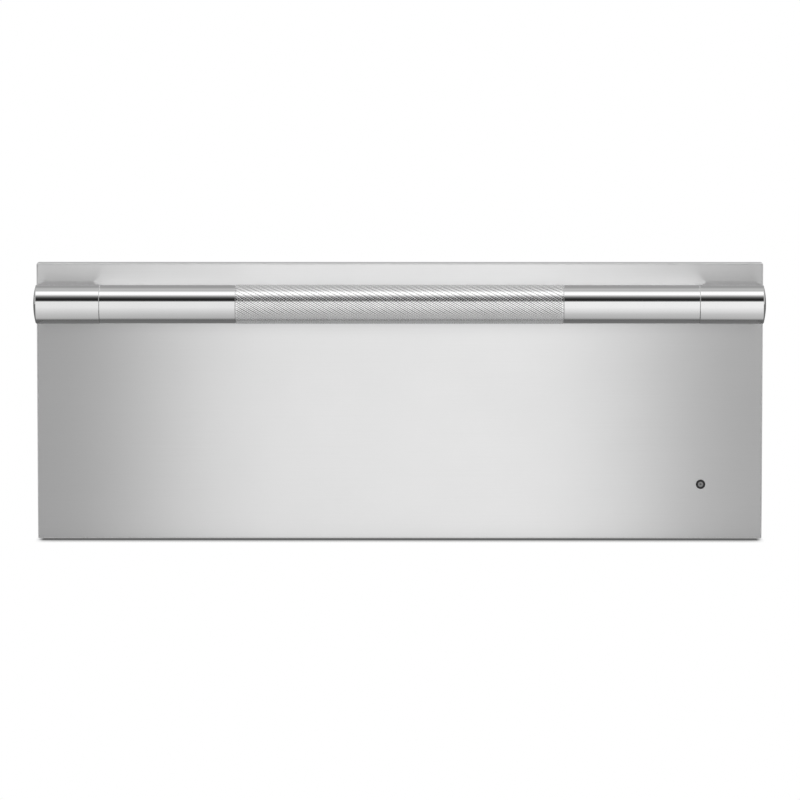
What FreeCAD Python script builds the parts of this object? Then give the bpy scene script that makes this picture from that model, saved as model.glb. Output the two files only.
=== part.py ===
"""Warming drawer: a sheet-metal casing with a heated cavity, and a drawer on telescopic ball slides.

Frame: millimetres, +Z up, +X to the right as seen from the front, +Y towards the back. The origin is
on the worktop, under the middle of the overall box. Every sub-part is one node of one or more solids.
"""

import FreeCAD, Part
import math
import os

from FreeCAD import Vector

# ---------------------------------------------------------------- drawer front
front_width = 756.0
front_height = 288.0
front_clearance = 2.0  # worktop to the lower edge of the front
skin_thickness = 1.2
skin_depth = 22.0
skin_bend_radius = 1.3  # outside of the folded edges
skin_return_width = 11.0  # turned in behind the folded sides
panel_thickness = 1.0
panel_inset = 3.0  # inner panel's edge, inside the skin's edge
plug_depth = 14.0  # how far the inner panel's boss enters the cavity
plug_clearance = 6.0  # boss to cavity wall
front_screw_pitch = 118.0
front_screw_inset = 7.5
gasket_width = 12.0
gasket_inset = 3.0  # gasket's inner edge, outside the cavity's edge
gasket_air = 0.3  # free space left at the closed seal
seal_gap = 6.0  # inner panel to face frame, drawer closed

# ---------------------------------------------------------------- handle
bar_diameter = 39.8
handle_standoff = 48.0  # bar's axis to the front's face
handle_drop = 39.2  # bar's axis below the top of the front
cap_length = 68.5
cap_proud = 0.35  # cap's surface above the smooth bar
cap_dome_radius = 80.0  # of the slightly domed end face
cap_chamfer = 1.0
edge_break = 0.4  # on the rims where the bar's pieces meet
neck_inner_inset_at_bar = 2.0  # from the cap's inner end
neck_outer_inset_at_bar = 4.5  # from the bar's end
neck_inner_inset_at_front = 9.0
neck_outer_inset_at_front = 7.0
neck_hollow = 1.4  # how far the neck's sides curve in from straight lines
grip_length = 338.4
grip_proud = 0.25  # knurl's crest above the smooth bar
tube_wall = 2.4
core_diameter = 16.0
core_engagement = 12.0  # core inside each cap
spigot_length = 12.0
spacer_length = 24.0
sleeve_fit = 0.15  # radial clearance of the nested handle pieces
backing_width = 46.0
backing_height = 36.0
backing_thickness = 3.0
handle_screw_radius = 3.0
handle_screw_spacing = 20.0
handle_screw_engagement = 18.0

# ---------------------------------------------------------------- indicator light
indicator_height = 57.0  # above the lower edge of the front
indicator_diameter = 9.8
indicator_lens_diameter = 5.8
indicator_flange = 0.8
indicator_barrel_diameter = 8.0
indicator_barrel_length = 7.0
guide_diameter = 5.0  # light guide behind the lens

# ---------------------------------------------------------------- casing
casing_width = 717.0
casing_depth = 552.0  # behind the face frame
casing_top = 248.0
foot_height = 9.0
foot_diameter = 30.0
foot_inset = 60.0
sheet = 1.0  # casing sheet thickness
sheet_gap = 0.3  # between nested sheets
cover_bend_radius = 3.0
base_flange = 16.0
frame_thickness = 1.5
frame_width = 740.0  # with the side flanges that a cabinet is screwed to
frame_return = 12.0
flange_hole_radius = 2.75
flange_hole_spacing = 170.0
louvre_length = 46.0
louvre_width = 4.0
louvre_pitch = 11.0
louvre_rows = 7

# ---------------------------------------------------------------- heated cavity
cavity_width = 576.0
cavity_depth = 480.0
liner_thickness = 1.0
liner_corner_radius = 10.0
liner_flange = 10.0
insulation_thickness = 20.0
back_insulation_thickness = 25.0
support_width = 30.0

# ---------------------------------------------------------------- heating element and sensors
element_radius = 3.5
element_run_spacing = 120.0
element_runs = 4
element_height = 14.0  # axis above the cavity floor
element_front_margin = 60.0
element_back_margin = 40.0
element_tail = 34.0  # behind the cavity's back wall
element_plate_size = 26.0
terminal_length = 12.0
rest_thickness = 1.5
probe_radius = 2.5
probe_reach = 32.0
cutout_radius = 9.0
cutout_depth = 8.0

# ---------------------------------------------------------------- slides
slide_length = 450.0
slide_setback = 8.0  # behind the face frame
rail_thickness = 12.7
outer_rail_height = 45.0
mid_rail_height = 34.4
inner_rail_height = 24.0
rail_sheet = 1.2
ball_radius = 1.75
ball_count = 10
ball_pitch = 22.0
ball_offset = 6.4  # ball row from the cavity wall
cage_sheet = 0.4
cage_setback = 115.0  # cage's front end behind the rails' front ends

# ---------------------------------------------------------------- drawer
pan_thickness = 1.0
pan_floor_height = 28.0  # above the cavity floor
pan_headroom = 24.0  # rim to the cavity roof
pan_corner_radius = 22.0
pan_floor_radius = 9.0
pan_rim_width = 7.0
pan_gap = 0.5  # pan to side members
member_thickness = 1.5
member_flange = 24.0
member_drop = 30.0  # web below the slide's centre
cross_member_height = 40.0
pan_setback = 5.5  # pan behind the inner panel's boss
rack_wire_radius = 1.5
rack_rim_radius = 2.5
rack_inset = 14.0
rack_height = 12.0  # rim's axis above the pan floor
rack_pitch = 26.0

# ---------------------------------------------------------------- moisture vent
vent_slot_width = 8.0
vent_slot_height = 9.0
vent_slots = 6
vent_travel = 8.0
vent_drop = 8.5  # slot centre below the boss's top edge
slider_thickness = 0.8
slider_margin = 2.0
slider_air = 0.3
slider_tab = 5.0
outlet_rows = 3
outlet_length = 60.0

# ---------------------------------------------------------------- controls
fascia_width = 46.0
fascia_height = 196.0
fascia_thickness = 2.0
fascia_gap = 2.5  # from the gasket's outer edge
fascia_rim = 5.0
button_width = 16.0
button_height = 18.0
button_pitch = 30.0
button_count = 5
button_proud = 1.0
button_travel = 1.2
button_flange = 1.4
button_air = 0.3
lamp_radius = 1.8
lamp_inset = 8.5  # lamps' row from the fascia's inner edge
board_thickness = 1.6
board_setback = 12.0  # behind the face frame's front
switch_size = 6.0
switch_depth = 3.4

# ---------------------------------------------------------------- power supply and inlet
power_board_length = 120.0
power_board_height = 130.0
power_board_offset = 10.0  # from the casing's side
power_board_setback = 190.0  # behind the face frame
power_board_rise = 22.0  # above the base pan's floor
bracket_foot = 24.0
transformer_size = 38.0
transformer_depth = 25.0
relay_size = 18.0
relay_depth = 16.0
capacitor_radius = 9.0
capacitor_length = 24.0
board_margin = 4.0  # board's edge inside its bracket's edge
connector_depth = 12.0
terminal_depth = 20.0
terminal_height = 22.0
terminal_pitch = 10.0
terminal_setback = 36.0  # from the casing's back
standoff_radius = 3.0
gland_x = 330.0
gland_height = 62.0
gland_bore_radius = 4.75
gland_barrel_radius = 9.0
gland_flange_radius = 13.0
gland_flange = 3.0
gland_nose = 14.0
gland_thread = 9.0
nut_thickness = 5.0
nut_width = 24.0
wire_radius = 1.6
wire_count = 7
wire_pitch = 6.5  # at the power board's rear connector

# ---------------------------------------------------------------- fasteners
screw_radius = 1.9
screw_head_radius = 3.6
screw_head_height = 2.0
screw_length = 7.0
screw_air = 0.15  # hole wall to shank
casing_screw_pitch = 156.0
casing_screw_margin = 38.0  # first screw from the casing's edge

# ---------------------------------------------------------------- planes and edges worked out from the above
bar_radius = bar_diameter / 2
cap_radius = bar_radius + cap_proud
overall_depth = (handle_standoff + cap_radius + skin_depth + panel_thickness + seal_gap
                 + frame_thickness + casing_depth + gland_flange + gland_nose)
front_y = handle_standoff + cap_radius - overall_depth / 2
skin_back_y = front_y + skin_depth
panel_back_y = skin_back_y + panel_thickness
plug_back_y = panel_back_y + plug_depth
frame_y = panel_back_y + seal_gap
frame_back_y = frame_y + frame_thickness
casing_back_y = frame_back_y + casing_depth
cavity_back_y = frame_back_y + cavity_depth
liner_back_y = cavity_back_y + liner_thickness

front_bottom = front_clearance
front_top = front_bottom + front_height
base_top = foot_height + sheet
cavity_floor = base_top + insulation_thickness + liner_thickness
cavity_roof = casing_top - sheet - insulation_thickness - liner_thickness
cavity_side = cavity_width / 2
nest_side = casing_width / 2 - sheet - sheet_gap  # half width of what fits in the cover

axis_y = front_y - handle_standoff
axis_z = front_top - handle_drop
cap_inner_x = front_width / 2 - cap_length
neck_inner_x = cap_inner_x + neck_inner_inset_at_front
neck_outer_x = front_width / 2 - neck_outer_inset_at_front
neck_middle_x = (neck_inner_x + neck_outer_x) / 2
grip_side = grip_length / 2

slide_y = frame_back_y + slide_setback
slide_end_y = slide_y + slide_length
slide_z = (cavity_floor + cavity_roof) / 2
drawer_side = cavity_side - rail_thickness  # drawer side of the slides
member_side = drawer_side - member_thickness
member_end_y = slide_end_y
pan_side = member_side - pan_gap
pan_floor = cavity_floor + pan_floor_height
pan_rim = cavity_roof - pan_headroom
pan_front_y = plug_back_y + pan_setback
pan_back_y = member_end_y - member_thickness - pan_rim_width - pan_gap

plug_side = cavity_side - plug_clearance
plug_bottom = cavity_floor + plug_clearance
plug_top = cavity_roof - plug_clearance
indicator_z = front_bottom + indicator_height
element_z = cavity_floor + element_height
element_span = element_run_spacing * (element_runs - 1)

fascia_x = cavity_side + gasket_inset + gasket_width + fascia_gap
fascia_z = (foot_height + casing_top) / 2 - fascia_height / 2
lamp_x = fascia_x + lamp_inset
indicator_x = lamp_x
button_x = fascia_x + fascia_width - fascia_rim - button_width / 2 - button_flange
board_y = frame_y + board_setback


# ---------------------------------------------------------------- small helpers
def block(x0, x1, y0, y1, z0, z1):
    """A box between two opposite corners."""
    return Part.makeBox(x1 - x0, y1 - y0, z1 - z0, Vector(x0, y0, z0))


def wide_block(half_width, y0, y1, z0, z1):
    """A box centred on the YZ plane."""
    return block(-half_width, half_width, y0, y1, z0, z1)


def rod(start, direction, radius, length):
    """A cylinder from a start point along a direction."""
    return Part.makeCylinder(radius, length, Vector(*start), Vector(*direction))


def ring(start, direction, outer, inner, length):
    """A tube from a start point along a direction."""
    return rod(start, direction, outer, length).cut(rod(start, direction, inner, length))


def mirrored(shape):
    """The same piece on the other side of the YZ plane."""
    return shape.mirror(Vector(0, 0, 0), Vector(1, 0, 0))


def opposite(points):
    """Points mirrored to the other side of the YZ plane."""
    return [(-x, y, z) for x, y, z in points]


def both_sides(shape):
    """A piece and its mirror image, as two solids."""
    return [shape, mirrored(shape)]


def fused(shapes):
    """Several touching solids joined into one, without their seams."""
    whole = shapes[0]
    if len(shapes) > 1:
        whole = whole.multiFuse(shapes[1:])
    return whole.removeSplitter()


def edges_along(shape, axis):
    """The straight edges that run along a row axis: 0 for X, 1 for Y, 2 for Z."""
    found = []
    for edge in shape.Edges:
        if edge.Curve.TypeId != "Part::GeomLine":
            continue
        run = edge.Vertexes[-1].Point - edge.Vertexes[0].Point
        if abs(abs(run[axis]) - run.Length) < 1e-6:
            found.append(edge)
    return found


def rounded_block(half_width, y0, y1, z0, z1, radius):
    """A centred box whose four edges along Y are rounded."""
    shape = wide_block(half_width, y0, y1, z0, z1)
    return shape.makeFillet(radius, edges_along(shape, 1)) if radius > 0.05 else shape


def top_rounded_block(half_width, y0, y1, z0, z1, radius):
    """A centred box whose two upper edges along Y are rounded."""
    shape = wide_block(half_width, y0, y1, z0, z1)
    upper = [e for e in edges_along(shape, 1) if e.BoundBox.ZMin > z1 - 1e-6]
    return shape.makeFillet(radius, upper)


def plate_with_window(half_width, y0, y1, z0, z1, border, radius):
    """A rectangular ring standing in the XZ plane, with rounded corners inside and out."""
    outer = rounded_block(half_width, y0, y1, z0, z1, radius + border)
    inner = rounded_block(half_width - border, y0, y1, z0 + border, z1 - border, radius)
    return outer.cut(inner)


def extruded_profile(points, y0, y1):
    """A closed (x, z) outline pushed along Y."""
    corners = [Vector(x, y0, z) for x, z in points]
    face = Part.Face(Part.makePolygon(corners + corners[:1]))
    return face.extrude(Vector(0, y1 - y0, 0))


def drilled(shape, centres, direction, radius, length, start=0.0):
    """A piece with round holes from each centre along a direction, beginning at an offset along it."""
    along = Vector(*direction).normalize()
    drills = [Part.makeCylinder(radius, length, Vector(*c) + along * start, along) for c in centres]
    return shape.cut(Part.makeCompound(drills)) if drills else shape


def screw(seat, direction, length=screw_length, radius=screw_radius,
          head_radius=screw_head_radius, head_height=screw_head_height):
    """A pan-head screw: its head stands on the seat, and its shank runs along the direction."""
    along = Vector(*direction).normalize()
    base = Vector(*seat)
    head = Part.makeCylinder(head_radius, head_height, base - along * head_height, along)
    top = [e for e in head.Edges if e.Curve.TypeId == "Part::GeomCircle"
           and (e.Curve.Center - base).dot(along) < -head_height / 2]
    head = head.makeFillet(head_height * 0.45, top)
    return head.fuse(Part.makeCylinder(radius, length, base, along)).removeSplitter()


def screws(seats, direction, **sizes):
    """A set of like screws."""
    return [screw(seat, direction, **sizes) for seat in seats]


def evenly(first, last, pitch):
    """Positions from first to last, both included, about a pitch apart."""
    count = max(1, round((last - first) / pitch))
    return [first + (last - first) * i / count for i in range(count + 1)]


def routed_tube(points, radius):
    """A round tube of straight runs joined by tangent arcs, as large as the shorter run allows."""
    nodes = [Vector(*p) for p in points]
    edges, start = [], nodes[0]
    for before, corner, after in zip(nodes, nodes[1:], nodes[2:]):
        arrive, leave = (corner - before), (after - corner)
        cut_back = 0.45 * min(arrive.Length, leave.Length)
        arrive.normalize()
        leave.normalize()
        turn = arrive.getAngle(leave)
        bend = cut_back / math.tan(turn / 2)
        enter, exit_point = corner - arrive * cut_back, corner + leave * cut_back
        inward = (leave - arrive).normalize()
        centre = corner + inward * math.hypot(bend, cut_back)
        middle = centre - inward * bend
        edges += [Part.LineSegment(start, enter).toShape(), Part.Arc(enter, middle, exit_point).toShape()]
        start = exit_point
    edges.append(Part.LineSegment(start, nodes[-1]).toShape())
    path = Part.Wire(edges)
    section = Part.Wire(Part.makeCircle(radius, nodes[0], nodes[1] - nodes[0]))
    return path.makePipeShell([section], True, False)


# ---------------------------------------------------------------- drawer front
def panel_screw_seats():
    """Where the inner panel is screwed to the skin's returns: along the top, the bottom and the sides."""
    edge_x = front_width / 2 - front_screw_inset
    low, high = front_bottom + front_screw_inset, front_top - front_screw_inset
    across = evenly(-edge_x, edge_x, front_screw_pitch)
    seats = [(x, panel_back_y, z) for x in across for z in (low, high)]
    upright = evenly(low, high, front_screw_pitch)[1:-1]
    return seats + [(x, panel_back_y, z) for x in (-edge_x, edge_x) for z in upright]


def neck_screw_centres():
    """Axes of the screws that hold the handle, on the skin's outer face."""
    offsets = (-handle_screw_spacing / 2, handle_screw_spacing / 2)
    return [(side * neck_middle_x, front_y, axis_z + dz) for side in (-1, 1) for dz in offsets]


def front_skin():
    """Folded tray: face, four sides and the returns behind them."""
    side = front_width / 2
    outer = wide_block(side, front_y, skin_back_y, front_bottom, front_top)
    face_edges = [e for e in outer.Edges if abs(e.BoundBox.YMax - front_y) < 1e-6]
    outer = outer.makeFillet(skin_bend_radius, face_edges + edges_along(outer, 1))
    inside = wide_block(side - skin_thickness, front_y + skin_thickness, skin_back_y - skin_thickness,
                        front_bottom + skin_thickness, front_top - skin_thickness)
    inner_radius = skin_bend_radius - skin_thickness
    if inner_radius > 0.1:
        face_edges = [e for e in inside.Edges if e.BoundBox.YMax < front_y + skin_thickness + 1e-6]
        inside = inside.makeFillet(inner_radius, face_edges)
    window = wide_block(side - skin_return_width, skin_back_y - 2 * skin_thickness, skin_back_y,
                        front_bottom + skin_return_width, front_top - skin_return_width)
    skin = outer.cut(inside).cut(window)
    skin = drilled(skin, neck_screw_centres(), (0, 1, 0), handle_screw_radius + screw_air, skin_thickness)
    skin = drilled(skin, [(indicator_x, front_y, indicator_z)], (0, 1, 0),
                   indicator_barrel_diameter / 2 + screw_air, skin_thickness)
    return drilled(skin, panel_screw_seats(), (0, -1, 0), screw_radius + screw_air,
                   panel_thickness + skin_thickness)


def front_inner_panel():
    """Plate behind the front, with a hollow boss that fills the mouth of the cavity."""
    plate = wide_block(front_width / 2 - panel_inset, skin_back_y, panel_back_y,
                       front_bottom + panel_inset, front_top - panel_inset)
    radius = liner_corner_radius
    boss = rounded_block(plug_side, skin_back_y, plug_back_y, plug_bottom, plug_top, radius)
    hollow = rounded_block(plug_side - panel_thickness, skin_back_y, plug_back_y - panel_thickness,
                           plug_bottom + panel_thickness, plug_top - panel_thickness,
                           radius - panel_thickness)
    panel = plate.fuse(boss).cut(hollow).removeSplitter()
    panel = drilled(panel, panel_screw_seats(), (0, -1, 0), screw_radius + screw_air, panel_thickness)
    panel = drilled(panel, member_screw_seats(), (0, -1, 0), screw_radius + screw_air,
                    member_thickness + panel_thickness)
    panel = drilled(panel, [(indicator_x, skin_back_y, indicator_z)], (0, 1, 0),
                    guide_diameter / 2 + screw_air, panel_thickness)
    slots = [block(x - vent_slot_width / 2, x + vent_slot_width / 2, plug_back_y - panel_thickness,
                   plug_back_y, vent_z() - vent_slot_height / 2, vent_z() + vent_slot_height / 2)
             for x in vent_slot_centres()]
    return panel.cut(Part.makeCompound(slots + outlet_slots()))


def outlet_slots():
    """Slots above the casing, where moist air leaves the front."""
    middle = (casing_top + front_top - skin_return_width) / 2
    rows = [middle + (i - (outlet_rows - 1) / 2) * 2 * louvre_width for i in range(outlet_rows)]
    return [wide_block(outlet_length / 2, skin_back_y, panel_back_y,
                       z - louvre_width / 2, z + louvre_width / 2)
            for z in rows]


def front_insulation():
    """Mineral wool between the skin and the inner panel, with a duct left open above the vent."""
    start = front_y + skin_thickness + backing_thickness + screw_head_height + 2.0
    margin = skin_return_width + screw_length
    slab = wide_block(front_width / 2 - margin, start, skin_back_y, front_bottom + margin, front_top - margin)
    filler = rounded_block(plug_side - 2 * panel_thickness, skin_back_y, plug_back_y - panel_thickness,
                           plug_bottom + 2 * panel_thickness, vent_z() - vent_slot_height,
                           liner_corner_radius - 2 * panel_thickness)
    duct = wide_block(vent_slots * vent_slot_width + slider_margin, start, plug_back_y,
                      vent_z() - vent_slot_height, front_top)
    wool = slab.cut(duct).fuse(filler).removeSplitter()
    wool = drilled(wool, member_screw_seats(), (0, -1, 0), screw_radius + screw_air, 2 * screw_length)
    return drilled(wool, [(indicator_x, start, indicator_z)], (0, 1, 0),
                   indicator_diameter / 2 + 1, skin_depth)


def front_gasket():
    """Heat seal round the boss, rounded where it meets the face frame."""
    reach = cavity_side + gasket_inset + gasket_width
    shape = plate_with_window(reach, panel_back_y, frame_y - gasket_air,
                              cavity_floor - gasket_inset - gasket_width,
                              cavity_roof + gasket_inset + gasket_width, gasket_width,
                              liner_corner_radius)
    lips = [e for e in shape.Edges if e.BoundBox.YMin > frame_y - gasket_air - 1e-6]
    return shape.makeFillet(gasket_width / 5, lips)


def indicator_bezel():
    """Flanged black ring pressed into the skin round the light."""
    flange = rod((indicator_x, front_y - indicator_flange, indicator_z), (0, 1, 0),
                 indicator_diameter / 2, indicator_flange)
    front_edge = [e for e in flange.Edges if e.BoundBox.YMax < front_y - indicator_flange + 1e-6]
    flange = flange.makeFillet(indicator_flange / 2, front_edge)
    barrel = rod((indicator_x, front_y, indicator_z), (0, 1, 0), indicator_barrel_diameter / 2,
                 indicator_barrel_length)
    bore = rod((indicator_x, front_y - indicator_flange, indicator_z), (0, 1, 0),
               indicator_lens_diameter / 2, indicator_flange + indicator_barrel_length)
    return flange.fuse(barrel).cut(bore).removeSplitter()


def indicator_lens():
    """Clear lens and light guide that carries the status lamp's light to the face."""
    lens = rod((indicator_x, front_y - indicator_flange / 2, indicator_z), (0, 1, 0),
               indicator_lens_diameter / 2 - sheet_gap / 4, indicator_barrel_length)
    guide = rod((indicator_x, front_y, indicator_z), (0, 1, 0), guide_diameter / 2,
                panel_back_y - front_y)
    return lens.fuse(guide).removeSplitter()


# ---------------------------------------------------------------- handle
def right_handle_cap():
    """Solid end of the bar with a waisted neck that stands on the front."""
    cap = domed_end().fuse(handle_neck()).removeSplitter()
    spigot = rod((cap_inner_x - spigot_length, axis_y, axis_z), (1, 0, 0),
                 bar_radius - tube_wall - sleeve_fit, spigot_length)
    cap = cap.fuse(spigot)
    cap = cap.cut(rod((cap_inner_x - spigot_length, axis_y, axis_z), (1, 0, 0),
                      core_diameter / 2 + sleeve_fit, spigot_length + core_engagement))
    centres = [c for c in neck_screw_centres() if c[0] > 0]
    return drilled(cap, centres, (0, -1, 0), handle_screw_radius + screw_air, handle_screw_engagement)


def domed_end():
    """Bar's end turned about its axis: cylinder, broken edges, slightly domed end face."""
    tip_x = front_width / 2
    rim = cap_radius - cap_chamfer
    rim_x = dome_x(rim)
    shoulder_x = rim_x - cap_chamfer
    inner_rim = cap_radius - edge_break
    inner_shoulder_x = cap_inner_x + edge_break
    outline = Part.Wire([
        Part.LineSegment(Vector(cap_inner_x, 0, 0), Vector(cap_inner_x, inner_rim, 0)).toShape(),
        Part.LineSegment(Vector(cap_inner_x, inner_rim, 0), Vector(inner_shoulder_x, cap_radius, 0)).toShape(),
        Part.LineSegment(Vector(inner_shoulder_x, cap_radius, 0), Vector(shoulder_x, cap_radius, 0)).toShape(),
        Part.LineSegment(Vector(shoulder_x, cap_radius, 0), Vector(rim_x, rim, 0)).toShape(),
        Part.Arc(Vector(rim_x, rim, 0), Vector(dome_x(rim / 2), rim / 2, 0), Vector(tip_x, 0, 0)).toShape(),
        Part.LineSegment(Vector(tip_x, 0, 0), Vector(cap_inner_x, 0, 0)).toShape(),
    ])
    turned = Part.Face(outline).revolve(Vector(0, 0, 0), Vector(1, 0, 0), 360)
    return turned.translated(Vector(0, axis_y, axis_z))


def dome_x(radius):
    """X of the domed end face at a distance from the bar's axis."""
    return front_width / 2 - cap_dome_radius + math.sqrt(cap_dome_radius ** 2 - radius ** 2)


def handle_neck():
    """Neck from the bar's axis to the front, as high as the cap, its two sides curving in."""
    low = axis_z - cap_radius
    corners = [Vector(cap_inner_x + neck_inner_inset_at_bar, axis_y, low),
               Vector(neck_inner_x, front_y, low),
               Vector(neck_outer_x, front_y, low),
               Vector(front_width / 2 - neck_outer_inset_at_bar, axis_y, low)]
    inner_middle = (corners[0] + corners[1]) / 2 + Vector(neck_hollow, 0, 0)
    outer_middle = (corners[2] + corners[3]) / 2 - Vector(neck_hollow, 0, 0)
    outline = Part.Wire([
        Part.Arc(corners[0], inner_middle, corners[1]).toShape(),
        Part.LineSegment(corners[1], corners[2]).toShape(),
        Part.Arc(corners[2], outer_middle, corners[3]).toShape(),
        Part.LineSegment(corners[3], corners[0]).toShape(),
    ])
    return Part.Face(outline).extrude(Vector(0, 0, 2 * cap_radius))


def right_handle_tube():
    """Smooth polished length of the bar between the grip and the end."""
    tube = ring((grip_side, axis_y, axis_z), (1, 0, 0), bar_radius, bar_radius - tube_wall,
                cap_inner_x - grip_side)
    return tube.makeChamfer(edge_break, outer_rims(tube))


def knurled_grip():
    """Middle length of the bar, whose knurl stands just proud of the smooth tubes."""
    grip = ring((-grip_side, axis_y, axis_z), (1, 0, 0), bar_radius + grip_proud,
                bar_radius - tube_wall, grip_length)
    return grip.makeChamfer(grip_proud, outer_rims(grip))


def outer_rims(piece):
    """Circular edges on the outside of one turned length of the bar."""
    middle_of_wall = bar_radius - tube_wall / 2
    return [e for e in piece.Edges if e.Curve.TypeId == "Part::GeomCircle" and e.Curve.Radius > middle_of_wall]


def handle_core():
    """Tie rod through the whole bar."""
    reach = cap_inner_x + core_engagement - sleeve_fit
    return rod((-reach, axis_y, axis_z), (1, 0, 0), core_diameter / 2, 2 * reach)


def handle_spacers():
    """Rings that centre the grip and the tubes on the core, across their joints."""
    right = ring((grip_side - spacer_length / 2, axis_y, axis_z), (1, 0, 0),
                 bar_radius - tube_wall - sleeve_fit, core_diameter / 2 + sleeve_fit, spacer_length)
    return both_sides(right)


def handle_backing_plates():
    """Plates inside the skin that spread the handle's load."""
    plate_y = front_y + skin_thickness
    right = block(neck_middle_x - backing_width / 2, neck_middle_x + backing_width / 2,
                  plate_y, plate_y + backing_thickness,
                  axis_z - backing_height / 2, axis_z + backing_height / 2)
    right = drilled(right, neck_screw_centres(), (0, 1, 0), handle_screw_radius + screw_air,
                    skin_thickness + backing_thickness)
    return both_sides(right)


def handle_screws():
    """Screws from inside the front into the necks of the handle."""
    stack = skin_thickness + backing_thickness
    seats = [(x, y + stack, z) for x, y, z in neck_screw_centres()]
    return screws(seats, (0, -1, 0), length=stack + handle_screw_engagement - 2.0,
                  radius=handle_screw_radius, head_radius=handle_screw_radius * 1.8)


# ---------------------------------------------------------------- moisture vent
def vent_z():
    """Height of the vent slots' centre."""
    return plug_top - vent_drop


def vent_slot_centres(shift=0.0):
    """X of each vent slot, centred on the front."""
    first = -(vent_slots - 1) * vent_slot_width
    return [first + 2 * i * vent_slot_width + shift for i in range(vent_slots)]


def slider_size():
    """Half length and half height of the sliding plate."""
    return vent_slots * vent_slot_width + slider_margin, vent_slot_height / 2 + slider_margin


def vent_slider():
    """Plate with windows that slides sideways over the vent slots; its tab is pushed by a finger."""
    half_length, half_height = slider_size()
    y0 = plug_back_y + slider_air
    plate = wide_block(half_length, y0, y0 + slider_thickness, vent_z() - half_height, vent_z() + half_height)
    windows = [block(x - vent_slot_width / 2, x + vent_slot_width / 2, y0, y0 + slider_thickness,
                     vent_z() - vent_slot_height / 2, vent_z() + vent_slot_height / 2)
               for x in vent_slot_centres(-vent_travel)]
    plate = plate.cut(Part.makeCompound(windows))
    tab_x = vent_slot_centres()[-1]
    tab = block(tab_x - vent_slot_width / 4, tab_x + vent_slot_width / 4, y0 + slider_thickness,
                y0 + slider_thickness + slider_tab, vent_z() - vent_slot_height / 2,
                vent_z() + vent_slot_height / 2)
    return plate.fuse(tab).removeSplitter()


def vent_guides():
    """Folded strips above and below the slider that hold it against the boss."""
    half_length, half_height = slider_size()
    reach = half_length + vent_travel
    depth = 2 * slider_air + slider_thickness
    strips = []
    for side in (-1, 1):
        near, far = half_height + slider_air, half_height + slider_air + slider_thickness
        z_near, z_far = vent_z() + side * near, vent_z() + side * far
        foot = wide_block(reach, plug_back_y, plug_back_y + depth, min(z_near, z_far), max(z_near, z_far))
        z_lip = vent_z() + side * (half_height - slider_air)
        lip = wide_block(reach, plug_back_y + depth, plug_back_y + depth + slider_thickness,
                         min(z_lip, z_far), max(z_lip, z_far))
        strips.append(foot.fuse(lip).removeSplitter())
    return strips


# ---------------------------------------------------------------- drawer frame and pan
def member_screw_seats():
    """Where the side members are screwed to the boss of the inner panel."""
    x = member_side - member_flange * 0.6
    low, high = slide_z - member_drop, pan_rim - pan_thickness
    heights = (low + (high - low) * 0.2, low + (high - low) * 0.8)
    return [(side * x, plug_back_y + member_thickness, z) for side in (-1, 1) for z in heights]


def right_side_member():
    """Folded sheet that joins the front to the slide and carries the pan's rim."""
    low, high = slide_z - member_drop, pan_rim - pan_thickness
    web = block(member_side, drawer_side, plug_back_y, member_end_y, low, high)
    flange = block(member_side - member_flange, drawer_side, plug_back_y,
                   plug_back_y + member_thickness, low, high)
    member = web.fuse(flange).removeSplitter()
    return drilled(member, member_screw_seats(), (0, -1, 0), screw_radius + screw_air, member_thickness)


def rear_cross_member():
    """Angle that ties the two side members together behind the pan."""
    low = slide_z - member_drop
    upright = wide_block(member_side, member_end_y - member_thickness, member_end_y,
                         low, low + cross_member_height)
    foot = wide_block(member_side, member_end_y - pan_rim_width, member_end_y,
                      low, low + member_thickness)
    return upright.fuse(foot).removeSplitter()


def pan_body(half_width, y0, y1, floor, top, corner, edge):
    """A block rounded like the pan: upright corners, then the edges of the floor."""
    shape = wide_block(half_width, y0, y1, floor, top)
    shape = shape.makeFillet(corner, edges_along(shape, 2))
    floor_edges = [e for e in shape.Edges if e.BoundBox.ZMax < floor + 1e-6]
    return shape.makeFillet(edge, floor_edges)


def drawer_pan():
    """Drawn steel pan that hangs by its rim from the side members."""
    outer = pan_body(pan_side, pan_front_y, pan_back_y, pan_floor, pan_rim, pan_corner_radius,
                     pan_floor_radius)
    inner = pan_body(pan_side - pan_thickness, pan_front_y + pan_thickness, pan_back_y - pan_thickness,
                     pan_floor + pan_thickness, pan_rim + pan_thickness,
                     pan_corner_radius - pan_thickness, pan_floor_radius - pan_thickness)
    rim = wide_block(pan_side + pan_rim_width, pan_front_y - pan_rim_width / 2, pan_back_y + pan_rim_width,
                     pan_rim - pan_thickness, pan_rim)
    rim = rim.makeFillet(pan_corner_radius / 2, edges_along(rim, 2))
    return outer.fuse(rim).cut(inner).removeSplitter()


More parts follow.
